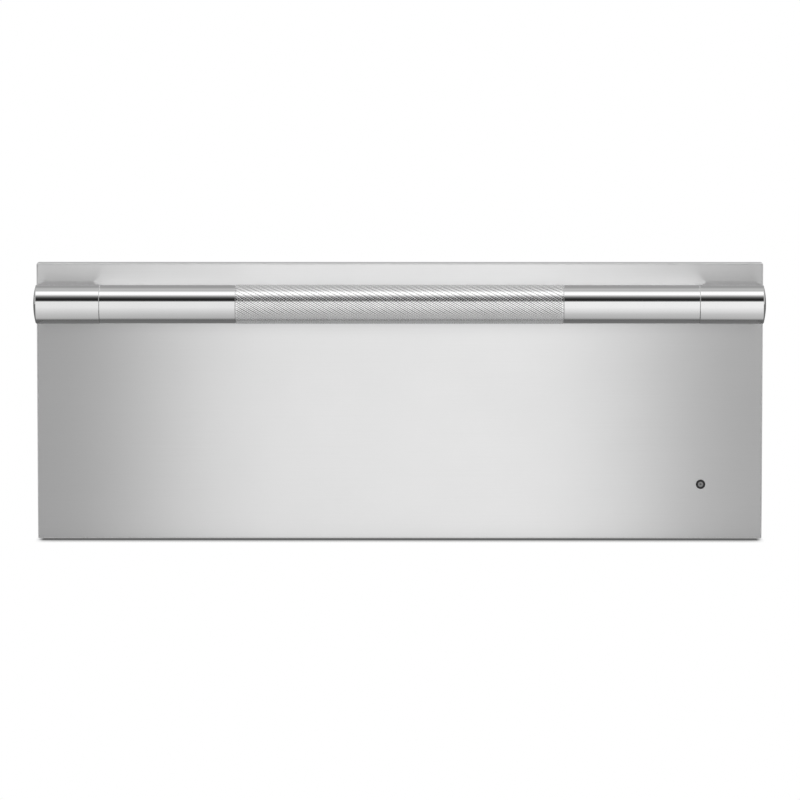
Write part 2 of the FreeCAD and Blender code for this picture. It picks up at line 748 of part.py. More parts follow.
def wire_rack():
    """Welded wire rack that stands on the pan's floor."""
    side = pan_side - rack_inset
    y0, y1 = pan_front_y + rack_inset, pan_back_y - rack_inset
    z = pan_floor + pan_thickness + rack_height
    corner = pan_corner_radius
    rim_path = Part.Wire([
        Part.LineSegment(Vector(-side + corner, y0, z), Vector(side - corner, y0, z)).toShape(),
        Part.Arc(Vector(side - corner, y0, z),
                 Vector(side - corner * (1 - math.sqrt(0.5)), y0 + corner * (1 - math.sqrt(0.5)), z),
                 Vector(side, y0 + corner, z)).toShape(),
        Part.LineSegment(Vector(side, y0 + corner, z), Vector(side, y1 - corner, z)).toShape(),
        Part.Arc(Vector(side, y1 - corner, z),
                 Vector(side - corner * (1 - math.sqrt(0.5)), y1 - corner * (1 - math.sqrt(0.5)), z),
                 Vector(side - corner, y1, z)).toShape(),
        Part.LineSegment(Vector(side - corner, y1, z), Vector(-side + corner, y1, z)).toShape(),
        Part.Arc(Vector(-side + corner, y1, z),
                 Vector(-side + corner * (1 - math.sqrt(0.5)), y1 - corner * (1 - math.sqrt(0.5)), z),
                 Vector(-side, y1 - corner, z)).toShape(),
        Part.LineSegment(Vector(-side, y1 - corner, z), Vector(-side, y0 + corner, z)).toShape(),
        Part.Arc(Vector(-side, y0 + corner, z),
                 Vector(-side + corner * (1 - math.sqrt(0.5)), y0 + corner * (1 - math.sqrt(0.5)), z),
                 Vector(-side + corner, y0, z)).toShape(),
    ])
    section = Part.Wire(Part.makeCircle(rack_rim_radius, Vector(-side + corner, y0, z), Vector(1, 0, 0)))
    pieces = [rim_path.makePipeShell([section], True, False)]
    for x in evenly(-side + corner, side - corner, rack_pitch):
        pieces.append(rod((x, y0, z), (0, 1, 0), rack_wire_radius, y1 - y0))
    for y in (y0 + (y1 - y0) / 4, y0 + (y1 - y0) * 3 / 4):
        pieces.append(rod((-side, y, z), (1, 0, 0), rack_rim_radius, 2 * side))
        for x in (-side * 0.7, side * 0.7):
            pieces.append(rod((x, y, z), (0, 0, -1), rack_rim_radius, rack_height))
    return fused(pieces)


# ---------------------------------------------------------------- slides
def channel(height, near, far, lip, thickness, opens_inward):
    """Section of a rail as (offset from the cavity wall, height) points: a C with turned-in lips."""
    half = height / 2
    back, mouth, step = (near, far, thickness) if opens_inward else (far, near, -thickness)
    return [(back, -half), (mouth, -half), (mouth, -half + lip), (mouth - step, -half + lip),
            (mouth - step, -half + thickness), (back + step, -half + thickness),
            (back + step, half - thickness), (mouth - step, half - thickness),
            (mouth - step, half - lip), (mouth, half - lip), (mouth, half), (back, half)]


def plain_channel(height, near, far, thickness):
    """Section of the drawer's rail: a C without lips, open towards the cavity wall."""
    half = height / 2
    return [(far, -half), (near, -half), (near, -half + thickness), (far - thickness, -half + thickness),
            (far - thickness, half - thickness), (near, half - thickness), (near, half), (far, half)]


def rail(section):
    """A right-hand rail of the slide's whole length from a section seen from the cavity wall."""
    points = [(cavity_side - offset, slide_z + height) for offset, height in section]
    return extruded_profile(points, slide_y, slide_end_y)


def right_outer_rail():
    """Rail fixed to the cavity's side wall."""
    return rail(channel(outer_rail_height, 0.0, ball_offset + 4.1, 4.0, rail_sheet, True))


def right_mid_rail():
    """Rail that rolls between the other two."""
    return rail(channel(mid_rail_height, 2.2, ball_offset + 3.8, 3.2, rail_sheet, True))


def right_inner_rail():
    """Rail fixed to the drawer's side member."""
    return rail(plain_channel(inner_rail_height, 4.8, rail_thickness, rail_sheet))


def ball_cage(web_offset, reach, row_height):
    """Right-hand ball retainer with its two rows of balls, as one cage solid and the balls."""
    cage_y = slide_y + cage_setback
    length = ball_count * ball_pitch
    half = row_height + cage_sheet
    section = [(web_offset, -half), (reach, -half), (reach, -half + cage_sheet * 1.5),
               (web_offset + cage_sheet, -half + cage_sheet * 1.5),
               (web_offset + cage_sheet, half - cage_sheet * 1.5), (reach, half - cage_sheet * 1.5),
               (reach, half), (web_offset, half)]
    points = [(cavity_side - offset, slide_z + height) for offset, height in section]
    cage = extruded_profile(points, cage_y, cage_y + length)
    centres = [(cavity_side - ball_offset, cage_y + (i + 0.5) * ball_pitch, slide_z + side * row_height)
               for i in range(ball_count) for side in (-1, 1)]
    cage = drilled(cage, [(x, y, z - 2 * ball_radius) for x, y, z in centres], (0, 0, 1),
                   ball_radius + screw_air, 4 * ball_radius)
    return [cage] + [Part.makeSphere(ball_radius, Vector(*c)) for c in centres]


def outer_ball_cages():
    """Retainers and balls between the outer and the middle rails, on both sides."""
    row = (outer_rail_height / 2 - rail_sheet + mid_rail_height / 2) / 2
    right = ball_cage(rail_sheet + sheet_gap, ball_offset + 2.3, row)
    return right + [mirrored(piece) for piece in right]


def inner_ball_cages():
    """Retainers and balls between the middle and the inner rails, on both sides."""
    row = (mid_rail_height / 2 - rail_sheet + inner_rail_height / 2) / 2
    right = ball_cage(2.2 + rail_sheet + sheet_gap, ball_offset + 2.3, row)
    return right + [mirrored(piece) for piece in right]


# ---------------------------------------------------------------- casing
def side_screw_seats():
    """Screws through the cover's sides into the base pan, on the right."""
    z = foot_height + base_flange / 2
    return [(casing_width / 2, y, z) for y in evenly(frame_back_y + casing_screw_margin,
                                                   casing_back_y - casing_screw_margin,
                                                   casing_screw_pitch)]


def frame_screw_seats():
    """Screws through the cover's sides into the face frame's returns, on the right."""
    y = frame_back_y + frame_return / 2
    low, high = foot_height + 2 * base_flange, casing_top - base_flange
    return [(casing_width / 2, y, z) for z in (low, (low + high) / 2, high)]


def cross_screw_places():
    """X of the screws along the casing's back edges."""
    reach = casing_width / 2 - casing_screw_margin
    return evenly(-reach, reach, casing_screw_pitch)


def top_screw_seats():
    """Screws through the cover's top into the back panel's flange."""
    y = casing_back_y - base_flange / 2
    return [(x, y, casing_top) for x in cross_screw_places()]


def back_screw_seats():
    """Screws through the back panel into the base pan."""
    z = foot_height + base_flange / 2
    return [(x, casing_back_y, z) for x in cross_screw_places()]


def foot_centres():
    """Axes of the four feet on the underside."""
    x = casing_width / 2 - foot_inset
    return [(sx, y, foot_height) for sx in (-x, x)
            for y in (frame_back_y + foot_inset, casing_back_y - foot_inset)]


def louvre_heights():
    """Heights of the cooling slots in the casing's sides and back."""
    middle = (foot_height + casing_top) / 2
    return [middle + (i - (louvre_rows - 1) / 2) * louvre_pitch for i in range(louvre_rows)]


def casing_cover():
    """Top and both sides, folded from one sheet."""
    side = casing_width / 2
    outer = top_rounded_block(side, frame_back_y, casing_back_y, foot_height, casing_top, cover_bend_radius)
    inner = top_rounded_block(side - sheet, frame_back_y, casing_back_y, foot_height, casing_top - sheet,
                              cover_bend_radius - sheet)
    cover = outer.cut(inner)
    seats = side_screw_seats() + frame_screw_seats()
    cover = drilled(cover, seats, (-1, 0, 0), screw_radius + screw_air, sheet)
    cover = drilled(cover, opposite(seats), (1, 0, 0), screw_radius + screw_air, sheet)
    cover = drilled(cover, top_screw_seats(), (0, 0, -1), screw_radius + screw_air, sheet)
    first = casing_back_y - 2.3 * louvre_length
    slots = [block(-side, side, first, first + louvre_length, z - louvre_width / 2, z + louvre_width / 2)
             for z in louvre_heights()]
    return cover.cut(Part.makeCompound(slots))


def base_pan():
    """Floor of the casing with its four edges turned up."""
    y0, y1 = frame_back_y, casing_back_y - sheet
    outer = wide_block(nest_side, y0, y1, foot_height, foot_height + base_flange)
    inner = wide_block(nest_side - sheet, y0 + sheet, y1 - sheet, base_top, foot_height + base_flange)
    front_lip_top = foot_height + insulation_thickness / 2
    mouth = wide_block(nest_side - sheet, y0, y0 + sheet, front_lip_top, foot_height + base_flange)
    pan = outer.cut(inner).cut(mouth)
    pan = drilled(pan, side_screw_seats(), (-1, 0, 0), screw_radius + screw_air, 3 * sheet)
    pan = drilled(pan, opposite(side_screw_seats()), (1, 0, 0), screw_radius + screw_air, 3 * sheet)
    pan = drilled(pan, back_screw_seats(), (0, -1, 0), screw_radius + screw_air, 3 * sheet)
    return drilled(pan, foot_centres(), (0, 0, 1), screw_radius + screw_air, sheet)


def back_panel():
    """Rear wall with cooling slots, the cord gland's hole and a flange under the cover's top."""
    top = casing_top - sheet - sheet_gap
    y0 = casing_back_y - sheet
    wall = top_rounded_block(nest_side, y0, casing_back_y, foot_height, top, cover_bend_radius - sheet)
    flange = wide_block(nest_side - cover_bend_radius, casing_back_y - base_flange, y0, top - sheet, top)
    panel = wall.fuse(flange).removeSplitter()
    panel = drilled(panel, back_screw_seats(), (0, -1, 0), screw_radius + screw_air, sheet)
    panel = drilled(panel, top_screw_seats(), (0, 0, -1), screw_radius + screw_air, 3 * sheet)
    panel = drilled(panel, [(gland_x, casing_back_y, gland_height)], (0, -1, 0),
                    gland_barrel_radius + screw_air, sheet)
    slots = []
    for column in (-1, 1):
        for step in (-1, 0, 1):
            middle = column * casing_width / 4 + step * 1.25 * louvre_length
            slots += [block(middle - louvre_length / 2, middle + louvre_length / 2, y0, casing_back_y,
                            z - louvre_width / 2, z + louvre_width / 2) for z in louvre_heights()]
    return panel.cut(Part.makeCompound(slots))


def flange_hole_centres():
    """Holes in the side flanges, for screws into the stiles of a cabinet."""
    x = (frame_width + casing_width) / 4
    z = (foot_height + casing_top) / 2
    reach = flange_hole_spacing / 2
    return [(side, frame_y, z + rise) for side in (-x, x) for rise in (-reach, reach)]


def face_frame():
    """Front of the casing: the plate round the cavity's mouth, with returns that the cover grips."""
    plate = wide_block(frame_width / 2, frame_y, frame_back_y, foot_height, casing_top)
    low = foot_height + base_flange + sheet_gap
    outer = top_rounded_block(nest_side, frame_back_y, frame_back_y + frame_return, low,
                              casing_top - sheet - sheet_gap, cover_bend_radius - sheet)
    inner = wide_block(nest_side - sheet, frame_back_y, frame_back_y + frame_return, low,
                       casing_top - 2 * sheet - sheet_gap)
    returns = outer.cut(inner)
    returns = drilled(returns, frame_screw_seats(), (-1, 0, 0), screw_radius + screw_air, 3 * sheet)
    returns = drilled(returns, opposite(frame_screw_seats()), (1, 0, 0), screw_radius + screw_air, 3 * sheet)
    frame = plate.fuse(returns).removeSplitter()
    mouth = rounded_block(cavity_side, frame_y, frame_back_y, cavity_floor, cavity_roof, liner_corner_radius)
    frame = frame.cut(mouth)
    frame = drilled(frame, flange_hole_centres(), (0, 1, 0), flange_hole_radius, frame_thickness)
    return frame.cut(fascia_window(frame_y, frame_back_y))


def fascia_window(y0, y1):
    """Opening in the face frame behind the control fascia."""
    return block(fascia_x + fascia_rim / 2, fascia_x + fascia_width - fascia_rim / 2, y0, y1,
                 fascia_z + fascia_rim, fascia_z + fascia_height - fascia_rim)


def cavity_liner():
    """Heated box, open at the front, with a flange that is welded to the face frame."""
    outer = rounded_block(cavity_side + liner_thickness, frame_back_y, liner_back_y,
                          cavity_floor - liner_thickness, cavity_roof + liner_thickness,
                          liner_corner_radius + liner_thickness)
    flange = rounded_block(cavity_side + liner_flange, frame_back_y, frame_back_y + liner_thickness,
                           cavity_floor - liner_flange, cavity_roof + liner_flange,
                           liner_corner_radius + liner_flange)
    inner = rounded_block(cavity_side, frame_back_y, cavity_back_y, cavity_floor, cavity_roof,
                          liner_corner_radius)
    liner = outer.fuse(flange).cut(inner).removeSplitter()
    liner = drilled(liner, element_ends(), (0, 1, 0), element_radius + screw_air, liner_thickness)
    return drilled(liner, [(probe_x(), cavity_back_y, probe_z())], (0, 1, 0), probe_radius + screw_air,
                   liner_thickness)


def liner_supports():
    """Hat-section bars between the base pan and the liner, through the base insulation."""
    bars = []
    for y in (frame_back_y + cavity_depth * 0.2, frame_back_y + cavity_depth * 0.8):
        outer = wide_block(cavity_side * 0.8, y - support_width / 2, y + support_width / 2,
                           base_top, cavity_floor - liner_thickness)
        hollow = wide_block(cavity_side * 0.8, y - support_width / 2 + sheet, y + support_width / 2 - sheet,
                            base_top, cavity_floor - liner_thickness - sheet)
        bars.append(outer.cut(hollow))
    return bars


def insulation_wrap():
    """Mineral wool over the top and down both sides of the liner."""
    y0, y1 = frame_back_y + frame_return + 2 * sheet_gap, liner_back_y
    side = cavity_side + liner_thickness
    wool = wide_block(side + insulation_thickness, y0, y1, cavity_floor - liner_thickness,
                      cavity_roof + liner_thickness + insulation_thickness - sheet_gap)
    core = rounded_block(side, y0, y1, cavity_floor - 3 * liner_corner_radius, cavity_roof + liner_thickness,
                         liner_corner_radius + liner_thickness)
    return wool.cut(core)


def insulation_back():
    """Mineral wool on the liner's back wall, cut away round the tails, the probe and the cut-out."""
    side = cavity_side + liner_thickness
    wool = wide_block(side, liner_back_y, liner_back_y + back_insulation_thickness,
                      cavity_floor - liner_thickness, cavity_roof + liner_thickness)
    wool = drilled(wool, element_ends(), (0, 1, 0), element_plate_size * 0.75,
                   liner_thickness + back_insulation_thickness)
    wool = drilled(wool, [(probe_x(), cavity_back_y, probe_z())], (0, 1, 0), cutout_radius,
                   liner_thickness + back_insulation_thickness)
    return drilled(wool, [cutout_centre()], (0, 1, 0), cutout_radius + 4.0, back_insulation_thickness)


def insulation_base():
    """Mineral wool under the liner, in three lengths between the supports."""
    y0, y1 = frame_back_y + frame_return + 2 * sheet_gap + sheet, liner_back_y
    wool = wide_block(cavity_side, y0, y1, base_top, cavity_floor - liner_thickness - sheet_gap)
    gaps = [wide_block(cavity_side, y - support_width / 2, y + support_width / 2, base_top, cavity_floor)
            for y in (frame_back_y + cavity_depth * 0.2, frame_back_y + cavity_depth * 0.8)]
    wool = drilled(wool, foot_centres(), (0, 0, 1), screw_head_radius, insulation_thickness)
    return wool.cut(Part.makeCompound(gaps)).Solids


def feet():
    """Rubber feet with a recess for the screw."""
    found = []
    for x, y, z in foot_centres():
        foot = Part.makeCone(foot_diameter / 2 - 2, foot_diameter / 2, foot_height, Vector(x, y, 0))
        recess = rod((x, y, 0), (0, 0, 1), screw_head_radius + 2, foot_height / 2)
        hole = rod((x, y, 0), (0, 0, 1), screw_radius + screw_air, foot_height)
        found.append(foot.cut(recess).cut(hole))
    return found


def casing_screws():
    """All of the casing's pan-head screws: sides, top, back and feet."""
    right = screws(side_screw_seats() + frame_screw_seats(), (-1, 0, 0), length=6 * sheet)
    found = right + [mirrored(s) for s in right]
    found += screws(top_screw_seats(), (0, 0, -1), length=5 * sheet)
    found += screws(back_screw_seats(), (0, -1, 0), length=6 * sheet)
    found += screws([(x, y, foot_height / 2) for x, y, z in foot_centres()], (0, 0, 1),
                    length=foot_height / 2 + 5 * sheet)
    return found


# ---------------------------------------------------------------- element and sensors
def element_x(run):
    """X of each straight run of the element."""
    return -element_span / 2 + run * element_run_spacing


def element_ends():
    """Where the element's two tails pass through the back wall."""
    return [(element_x(run), cavity_back_y, element_z) for run in (0, element_runs - 1)]


def heating_element():
    """Sheathed tube in four runs under the pan, its fixing plates, and its two terminal tabs."""
    front = frame_back_y + element_front_margin
    back = cavity_back_y - element_back_margin
    tail = liner_back_y + element_tail
    bend = element_run_spacing / 2
    edges, at = [], Vector(element_x(0), tail, element_z)
    for run in range(element_runs):
        going_front = run % 2 == 0
        if run == element_runs - 1:
            end_y = tail
        else:
            end_y = front + bend if going_front else back - bend
        end = Vector(element_x(run), end_y, element_z)
        edges.append(Part.LineSegment(at, end).toShape())
        if run < element_runs - 1:
            outward = -bend if going_front else bend
            peak = Vector(element_x(run) + bend, end_y + outward, element_z)
            at = Vector(element_x(run + 1), end_y, element_z)
            edges.append(Part.Arc(end, peak, at).toShape())
    section = Part.Wire(Part.makeCircle(element_radius, Vector(element_x(0), tail, element_z),
                                        Vector(0, -1, 0)))
    sheath = Part.Wire(edges).makePipeShell([section], True, False)
    half = element_plate_size / 2
    plates = []
    for x, _, z in element_ends():
        plate = block(x - half, x + half, liner_back_y, liner_back_y + liner_thickness,
                      z - half / 2, z + half)
        plates.append(plate.cut(rod((x, liner_back_y, z), (0, 1, 0), element_radius + screw_air,
                                    liner_thickness)))
    tabs = [block(x - 3, x + 3, tail, tail + terminal_length, element_z - 0.4, element_z + 0.4)
            for x, _, _ in element_ends()]
    return [sheath] + plates + tabs


def element_rests():
    """Notched bars that hold the element off the cavity floor."""
    bars = []
    span = element_span / 2 + 4 * element_radius
    top = element_z
    for y in (frame_back_y + cavity_depth * 0.32, frame_back_y + cavity_depth * 0.68):
        bar = wide_block(span, y - rest_thickness / 2, y + rest_thickness / 2, cavity_floor, top)
        foot = wide_block(span, y - rest_thickness / 2, y + 4 * rest_thickness, cavity_floor,
                          cavity_floor + rest_thickness / 2)
        notches = [(element_x(run), y - rest_thickness, element_z) for run in range(element_runs)]
        bar = drilled(bar, notches, (0, 1, 0), element_radius + sheet_gap / 2, 6 * rest_thickness)
        bars.append(bar.fuse(foot).removeSplitter())
    return bars


def probe_x():
    """X of the temperature probe."""
    return cavity_width / 5


def probe_z():
    """Height of the temperature probe, above the pan's rim."""
    return cavity_roof - pan_headroom / 2


def temperature_probe():
    """Sheathed sensor through the back wall with a hexagon shoulder outside."""
    x, z = probe_x(), probe_z()
    stem = rod((x, cavity_back_y - probe_reach, z), (0, 1, 0), probe_radius,
               probe_reach + 4 * liner_thickness)
    tip = [e for e in stem.Edges if e.BoundBox.YMax < cavity_back_y - probe_reach + 1e-6]
    stem = stem.makeFillet(probe_radius * 0.9, tip)
    shoulder = hexagon(x, z, liner_back_y, 5 * probe_radius, 4 * liner_thickness)
    return stem.fuse(shoulder).removeSplitter()


def hexagon(x, z, y0, width, depth):
    """A hexagonal prism along Y, by its width across flats."""
    radius = width / math.sqrt(3)
    corners = [Vector(x + radius * math.cos(math.radians(60 * i)), y0,
                      z + radius * math.sin(math.radians(60 * i))) for i in range(7)]
    return Part.Face(Part.makePolygon(corners)).extrude(Vector(0, depth, 0))


def cutout_centre():
    """Centre of the thermal cut-out on the back wall."""
    return (-probe_x(), liner_back_y, (cavity_floor + cavity_roof) / 2)


def thermal_cutout():
    """Bimetal disc switch with its mounting bridge and two tabs."""
    x, y, z = cutout_centre()
    disc = rod((x, y, z), (0, 1, 0), cutout_radius, cutout_depth)
    waist = rod((x, y + cutout_depth, z), (0, 1, 0), cutout_radius * 0.7, cutout_depth)
    tabs = [block(x + dx - 0.4, x + dx + 0.4, y + 2 * cutout_depth, y + 2 * cutout_depth + terminal_length,
                  z - 3, z + 3) for dx in (-cutout_radius / 3, cutout_radius / 3)]
    return fused([disc, waist] + tabs)


# ---------------------------------------------------------------- controls
def button_z(index):
    """Height of each button's centre, from the top down."""
    top = fascia_z + fascia_height - fascia_rim - button_height
    return top - index * button_pitch


def control_fascia():
    """Moulded strip on the face frame, with openings for the buttons and the lamps."""
    strip = block(fascia_x, fascia_x + fascia_width, frame_y - fascia_thickness, frame_y,
                  fascia_z, fascia_z + fascia_height)
    strip = strip.makeFillet(fascia_rim * 0.8, edges_along(strip, 1))
    half_w, half_h = button_width / 2 + button_air, button_height / 2 + button_air
    cuts = [block(button_x - half_w, button_x + half_w, frame_y - fascia_thickness, frame_y,
                  button_z(i) - half_h, button_z(i) + half_h) for i in range(button_count)]
    strip = strip.cut(Part.makeCompound(cuts))
    lamps = [(lamp_x, frame_y - fascia_thickness, z) for z in lamp_heights()]
    return drilled(strip, lamps, (0, 1, 0), lamp_radius + screw_air, fascia_thickness)


def lamp_heights():
    """Heights of the mode lamps, one beside each button, then the status lamp behind the front's lens."""
    return [button_z(i) for i in range(button_count)] + [indicator_z]


def button(index):
    """Push button: the cap in the fascia, the flange that keeps it there, and the stem."""
    z = button_z(index)
    cap = block(button_x - button_width / 2, button_x + button_width / 2,
                frame_y - fascia_thickness - button_proud, frame_y + button_air,
                z - button_height / 2, z + button_height / 2)
    cap = cap.makeFillet(0.6, [e for e in cap.Edges
                               if e.BoundBox.YMax < frame_y - fascia_thickness - button_proud + 1e-6])
    half_w, half_h = button_width / 2 + button_flange, button_height / 2 + button_flange
    flange = block(button_x - half_w, button_x + half_w, frame_y + button_air,
                   frame_y + button_air + button_flange, z - half_h, z + half_h)
    stem_end = board_y - switch_depth - button_travel - button_air
    stem = rod((button_x, frame_y + button_air, z), (0, 1, 0), switch_size / 3,
               stem_end - frame_y - button_air)
    return fused([cap, flange, stem])


def control_board():
    """Board behind the face frame with its switches, lamps and spacers."""
    margin = fascia_rim * 2
    board = block(fascia_x + fascia_rim / 2, fascia_x + fascia_width - fascia_rim / 2, board_y,
                  board_y + board_thickness, fascia_z - margin, fascia_z + fascia_height + margin)
    pieces = [board]
    for i in range(button_count):
        pieces.append(block(button_x - switch_size / 2, button_x + switch_size / 2, board_y - switch_depth,
                            board_y, button_z(i) - switch_size / 2, button_z(i) + switch_size / 2))
    for z in lamp_heights():
        pieces.append(rod((lamp_x, frame_y - fascia_thickness, z), (0, 1, 0), lamp_radius,
                          board_y - frame_y + fascia_thickness))
    for z in (fascia_z - margin / 2, fascia_z + fascia_height + margin / 2):
        for x in (fascia_x + fascia_rim * 1.5, fascia_x + fascia_width - fascia_rim * 1.5):
            pieces.append(rod((x, frame_back_y, z), (0, 1, 0), standoff_radius, board_y - frame_back_y))
    return pieces


def power_plate_x():
    """Inner face of the bracket that carries the power board."""
    return nest_side - sheet - power_board_offset / 2


def power_bracket():
    """Angle on the base pan that carries the power board beside the casing's wall."""
    y0 = frame_back_y + power_board_setback
    x1 = power_plate_x()
    top = base_top + power_board_rise + power_board_height + board_margin
    upright = block(x1 - sheet, x1, y0, y0 + power_board_length, base_top, top)
    foot = block(x1 - bracket_foot, x1, y0, y0 + power_board_length, base_top, base_top + sheet)
    return upright.fuse(foot).removeSplitter()


def power_board_face():
    """X of the component side of the power board."""
    return power_plate_x() - sheet - power_board_offset / 2 - board_thickness


def power_board_front_y():
    """Front edge of the power board."""
    return frame_back_y + power_board_setback + board_margin


def power_board_back_y():
    """Back edge of the power board."""
    return frame_back_y + power_board_setback + power_board_length - board_margin


def power_board():
    """Mains board with its transformer, relays, capacitor and connectors, on four spacers."""
    y0, y1 = power_board_front_y(), power_board_back_y()
    z0, z1 = base_top + power_board_rise, base_top + power_board_rise + power_board_height
    face = power_board_face()
    pieces = [block(face, face + board_thickness, y0, y1, z0, z1)]
    for y in (y0 + 2 * standoff_radius, y1 - 2 * standoff_radius):
        for z in (z0 + 2 * standoff_radius, z1 - 2 * standoff_radius):
            pieces.append(rod((face + board_thickness, y, z), (1, 0, 0), standoff_radius,
                              power_board_offset / 2))
    y, z = y0 + connector_depth, z0 + connector_depth
    pieces.append(block(face - transformer_depth, face, y, y + transformer_size, z, z + transformer_size))
    y_capacitor = y + transformer_size + 2 * capacitor_radius
    pieces.append(rod((face, y_capacitor, z + transformer_size / 2), (-1, 0, 0), capacitor_radius,
                      capacitor_length))
    for step in (0, 1):
        z = z0 + connector_depth + transformer_size + relay_size * (0.5 + 1.4 * step)
        pieces.append(block(face - relay_depth, face, y, y + 1.5 * relay_size, z, z + relay_size))
    entry = wire_entry_z(0), wire_entry_z(wire_count - 1)
    pieces.append(block(face - connector_depth, face, y1 - connector_depth, y1,
                        entry[0] - wire_pitch / 2, entry[1] + wire_pitch / 2))
    pieces.append(block(face - connector_depth, face, y0, y0 + connector_depth,
                        z1 - 3 * wire_pitch, z1 - wire_pitch))
    return pieces


def terminal_centre():
    """Centre of the terminal block's foot."""
    return (gland_x - terminal_pitch / 2, casing_back_y - terminal_setback)


def terminal_block():
    """Mains terminal block on the base pan, near the gland."""
    x, y = terminal_centre()
    top = base_top + terminal_height
    body = block(x - 1.6 * terminal_pitch, x + 1.6 * terminal_pitch, y - terminal_depth / 2,
                 y + terminal_depth / 2, base_top, top)
    recesses = [(x + step * terminal_pitch, y, top) for step in (-1, 0, 1)]
    return drilled(body, recesses, (0, 0, -1), terminal_pitch / 3, terminal_height * 0.4)


def cord_gland():
    """Strain relief in the back panel: flange, threaded barrel and tapered nose, bored for the cord."""
    y = casing_back_y
    flange = rod((gland_x, y, gland_height), (0, 1, 0), gland_flange_radius, gland_flange)
    nose = Part.makeCone(gland_barrel_radius, gland_bore_radius + 2.2, gland_nose,
                         Vector(gland_x, y + gland_flange, gland_height), Vector(0, 1, 0))
    barrel = rod((gland_x, y - gland_thread, gland_height), (0, 1, 0), gland_barrel_radius, gland_thread)
    bore = rod((gland_x, y - gland_thread, gland_height), (0, 1, 0), gland_bore_radius,
               gland_thread + gland_flange + gland_nose)
    return fused([flange, nose, barrel]).cut(bore)


def gland_nut():
    """Hexagon nut inside the back panel."""
    y = casing_back_y - sheet - nut_thickness
    nut = hexagon(gland_x, gland_height, y, nut_width, nut_thickness)
    return nut.cut(rod((gland_x, y, gland_height), (0, 1, 0), gland_barrel_radius + screw_air, nut_thickness))


def wire_entry_z(index):
    """Height at which each wire enters the power board's rear connector."""
    return base_top + power_board_rise + power_board_height * 0.6 + index * wire_pitch


def wire_to_board(index, start, lane_y):
    """A wire from a tab at the back, across behind the wool, then forward to its place on the board."""
    face, back = power_board_face(), power_board_back_y()
    corner_x = face - connector_depth / 2
    z = wire_entry_z(index)
    x0, y0, z0 = start
    if index % 2 == 0:
        lane_y += 2.5 * wire_radius
    points = [(x0, y0, z0), (x0, lane_y, z0)]
    if abs(z - z0) > 3 * wire_radius:
        points.append((x0 + 8 * wire_radius, lane_y, z))
    points += [(corner_x, lane_y, z), (corner_x, back, z)]
    return routed_tube(points, wire_radius)


def wiring_loom():
    """Insulated wires to the power board from the terminals, element, cut-out and probe, and forward."""
    tab_y = liner_back_y + element_tail + terminal_length
    behind = tab_y + 5 * wire_radius
    cut_x, cut_y, cut_z = cutout_centre()
    cut_back = cut_y + 2 * cutout_depth + terminal_length
    face = power_board_face()
    wires = [wire_to_board(0, (element_x(element_runs - 1), tab_y, element_z), behind),
             wire_to_board(1, (element_x(0), tab_y, element_z), behind),
             wire_to_board(2, (cut_x - cutout_radius / 3, cut_back, cut_z), behind),
             wire_to_board(3, (cut_x + cutout_radius / 3, cut_back, cut_z), behind),
             wire_to_board(4, (probe_x(), liner_back_y + 4 * liner_thickness, probe_z()), behind)]
    x, y = terminal_centre()
    start_y = y - terminal_depth / 2
    low = base_top + terminal_height / 4
    for index, dx in ((5, 0.0), (6, -terminal_pitch)):
        z = wire_entry_z(index)
        wires.append(routed_tube([(x + dx, start_y, low), (x + dx, start_y - terminal_depth, low),
                                  (x + dx, start_y - 2 * terminal_depth, z),
                                  (face - connector_depth / 2, start_y - 4 * terminal_depth, z),
                                  (face - connector_depth / 2, power_board_back_y(), z)], wire_radius))
    board_z = base_top + power_board_rise + power_board_height - 2 * wire_pitch
    wires.append(rod((face - connector_depth / 2, board_y + board_thickness, board_z), (0, 1, 0),
                     2 * wire_radius, power_board_front_y() - board_y - board_thickness))
    return wires


# ---------------------------------------------------------------- nodes
BUTTON_NAMES = ("power", "low", "medium", "high", "proof")

NODES = {
    "front_skin": front_skin,
    "front_inner_panel": front_inner_panel,
    "front_insulation": front_insulation,
    "front_gasket": front_gasket,
    "front_screws": lambda: screws(panel_screw_seats(), (0, -1, 0), length=screw_length - panel_thickness),
    "indicator_bezel": indicator_bezel,
    "indicator_lens": indicator_lens,
    "right_handle_cap": right_handle_cap,
    "left_handle_cap": lambda: mirrored(right_handle_cap()),
    "right_handle_tube": right_handle_tube,
    "left_handle_tube": lambda: mirrored(right_handle_tube()),
    "knurled_grip": knurled_grip,
    "handle_core": handle_core,
    "handle_spacers": handle_spacers,
    "handle_backing_plates": handle_backing_plates,
    "handle_screws": handle_screws,
    "vent_slider": vent_slider,
    "vent_guides": vent_guides,
    "right_side_member": right_side_member,
    "left_side_member": lambda: mirrored(right_side_member()),
    "rear_cross_member": rear_cross_member,
    "member_screws": lambda: screws(member_screw_seats(), (0, -1, 0)),
    "drawer_pan": drawer_pan,
    "wire_rack": wire_rack,
    "right_outer_rail": right_outer_rail,
    "left_outer_rail": lambda: mirrored(right_outer_rail()),
    "right_mid_rail": right_mid_rail,
    "left_mid_rail": lambda: mirrored(right_mid_rail()),
    "right_inner_rail": right_inner_rail,
    "left_inner_rail": lambda: mirrored(right_inner_rail()),
    "outer_ball_cages": outer_ball_cages,
    "inner_ball_cages": inner_ball_cages,
    "casing_cover": casing_cover,
    "base_pan": base_pan,
    "back_panel": back_panel,
    "face_frame": face_frame,
    "cavity_liner": cavity_liner,
    "liner_supports": liner_supports,
    "insulation_wrap": insulation_wrap,
    "insulation_back": insulation_back,
    "insulation_base": insulation_base,
    "feet": feet,
    "casing_screws": casing_screws,
    "heating_element": heating_element,
    "element_rests": element_rests,
    "temperature_probe": temperature_probe,
    "thermal_cutout": thermal_cutout,
    "control_fascia": control_fascia,
    "control_board": control_board,
    "power_bracket": power_bracket,
    "power_board": power_board,
    "terminal_block": terminal_block,
    "cord_gland": cord_gland,
    "gland_nut": gland_nut,
    "wiring_loom": wiring_loom,
}
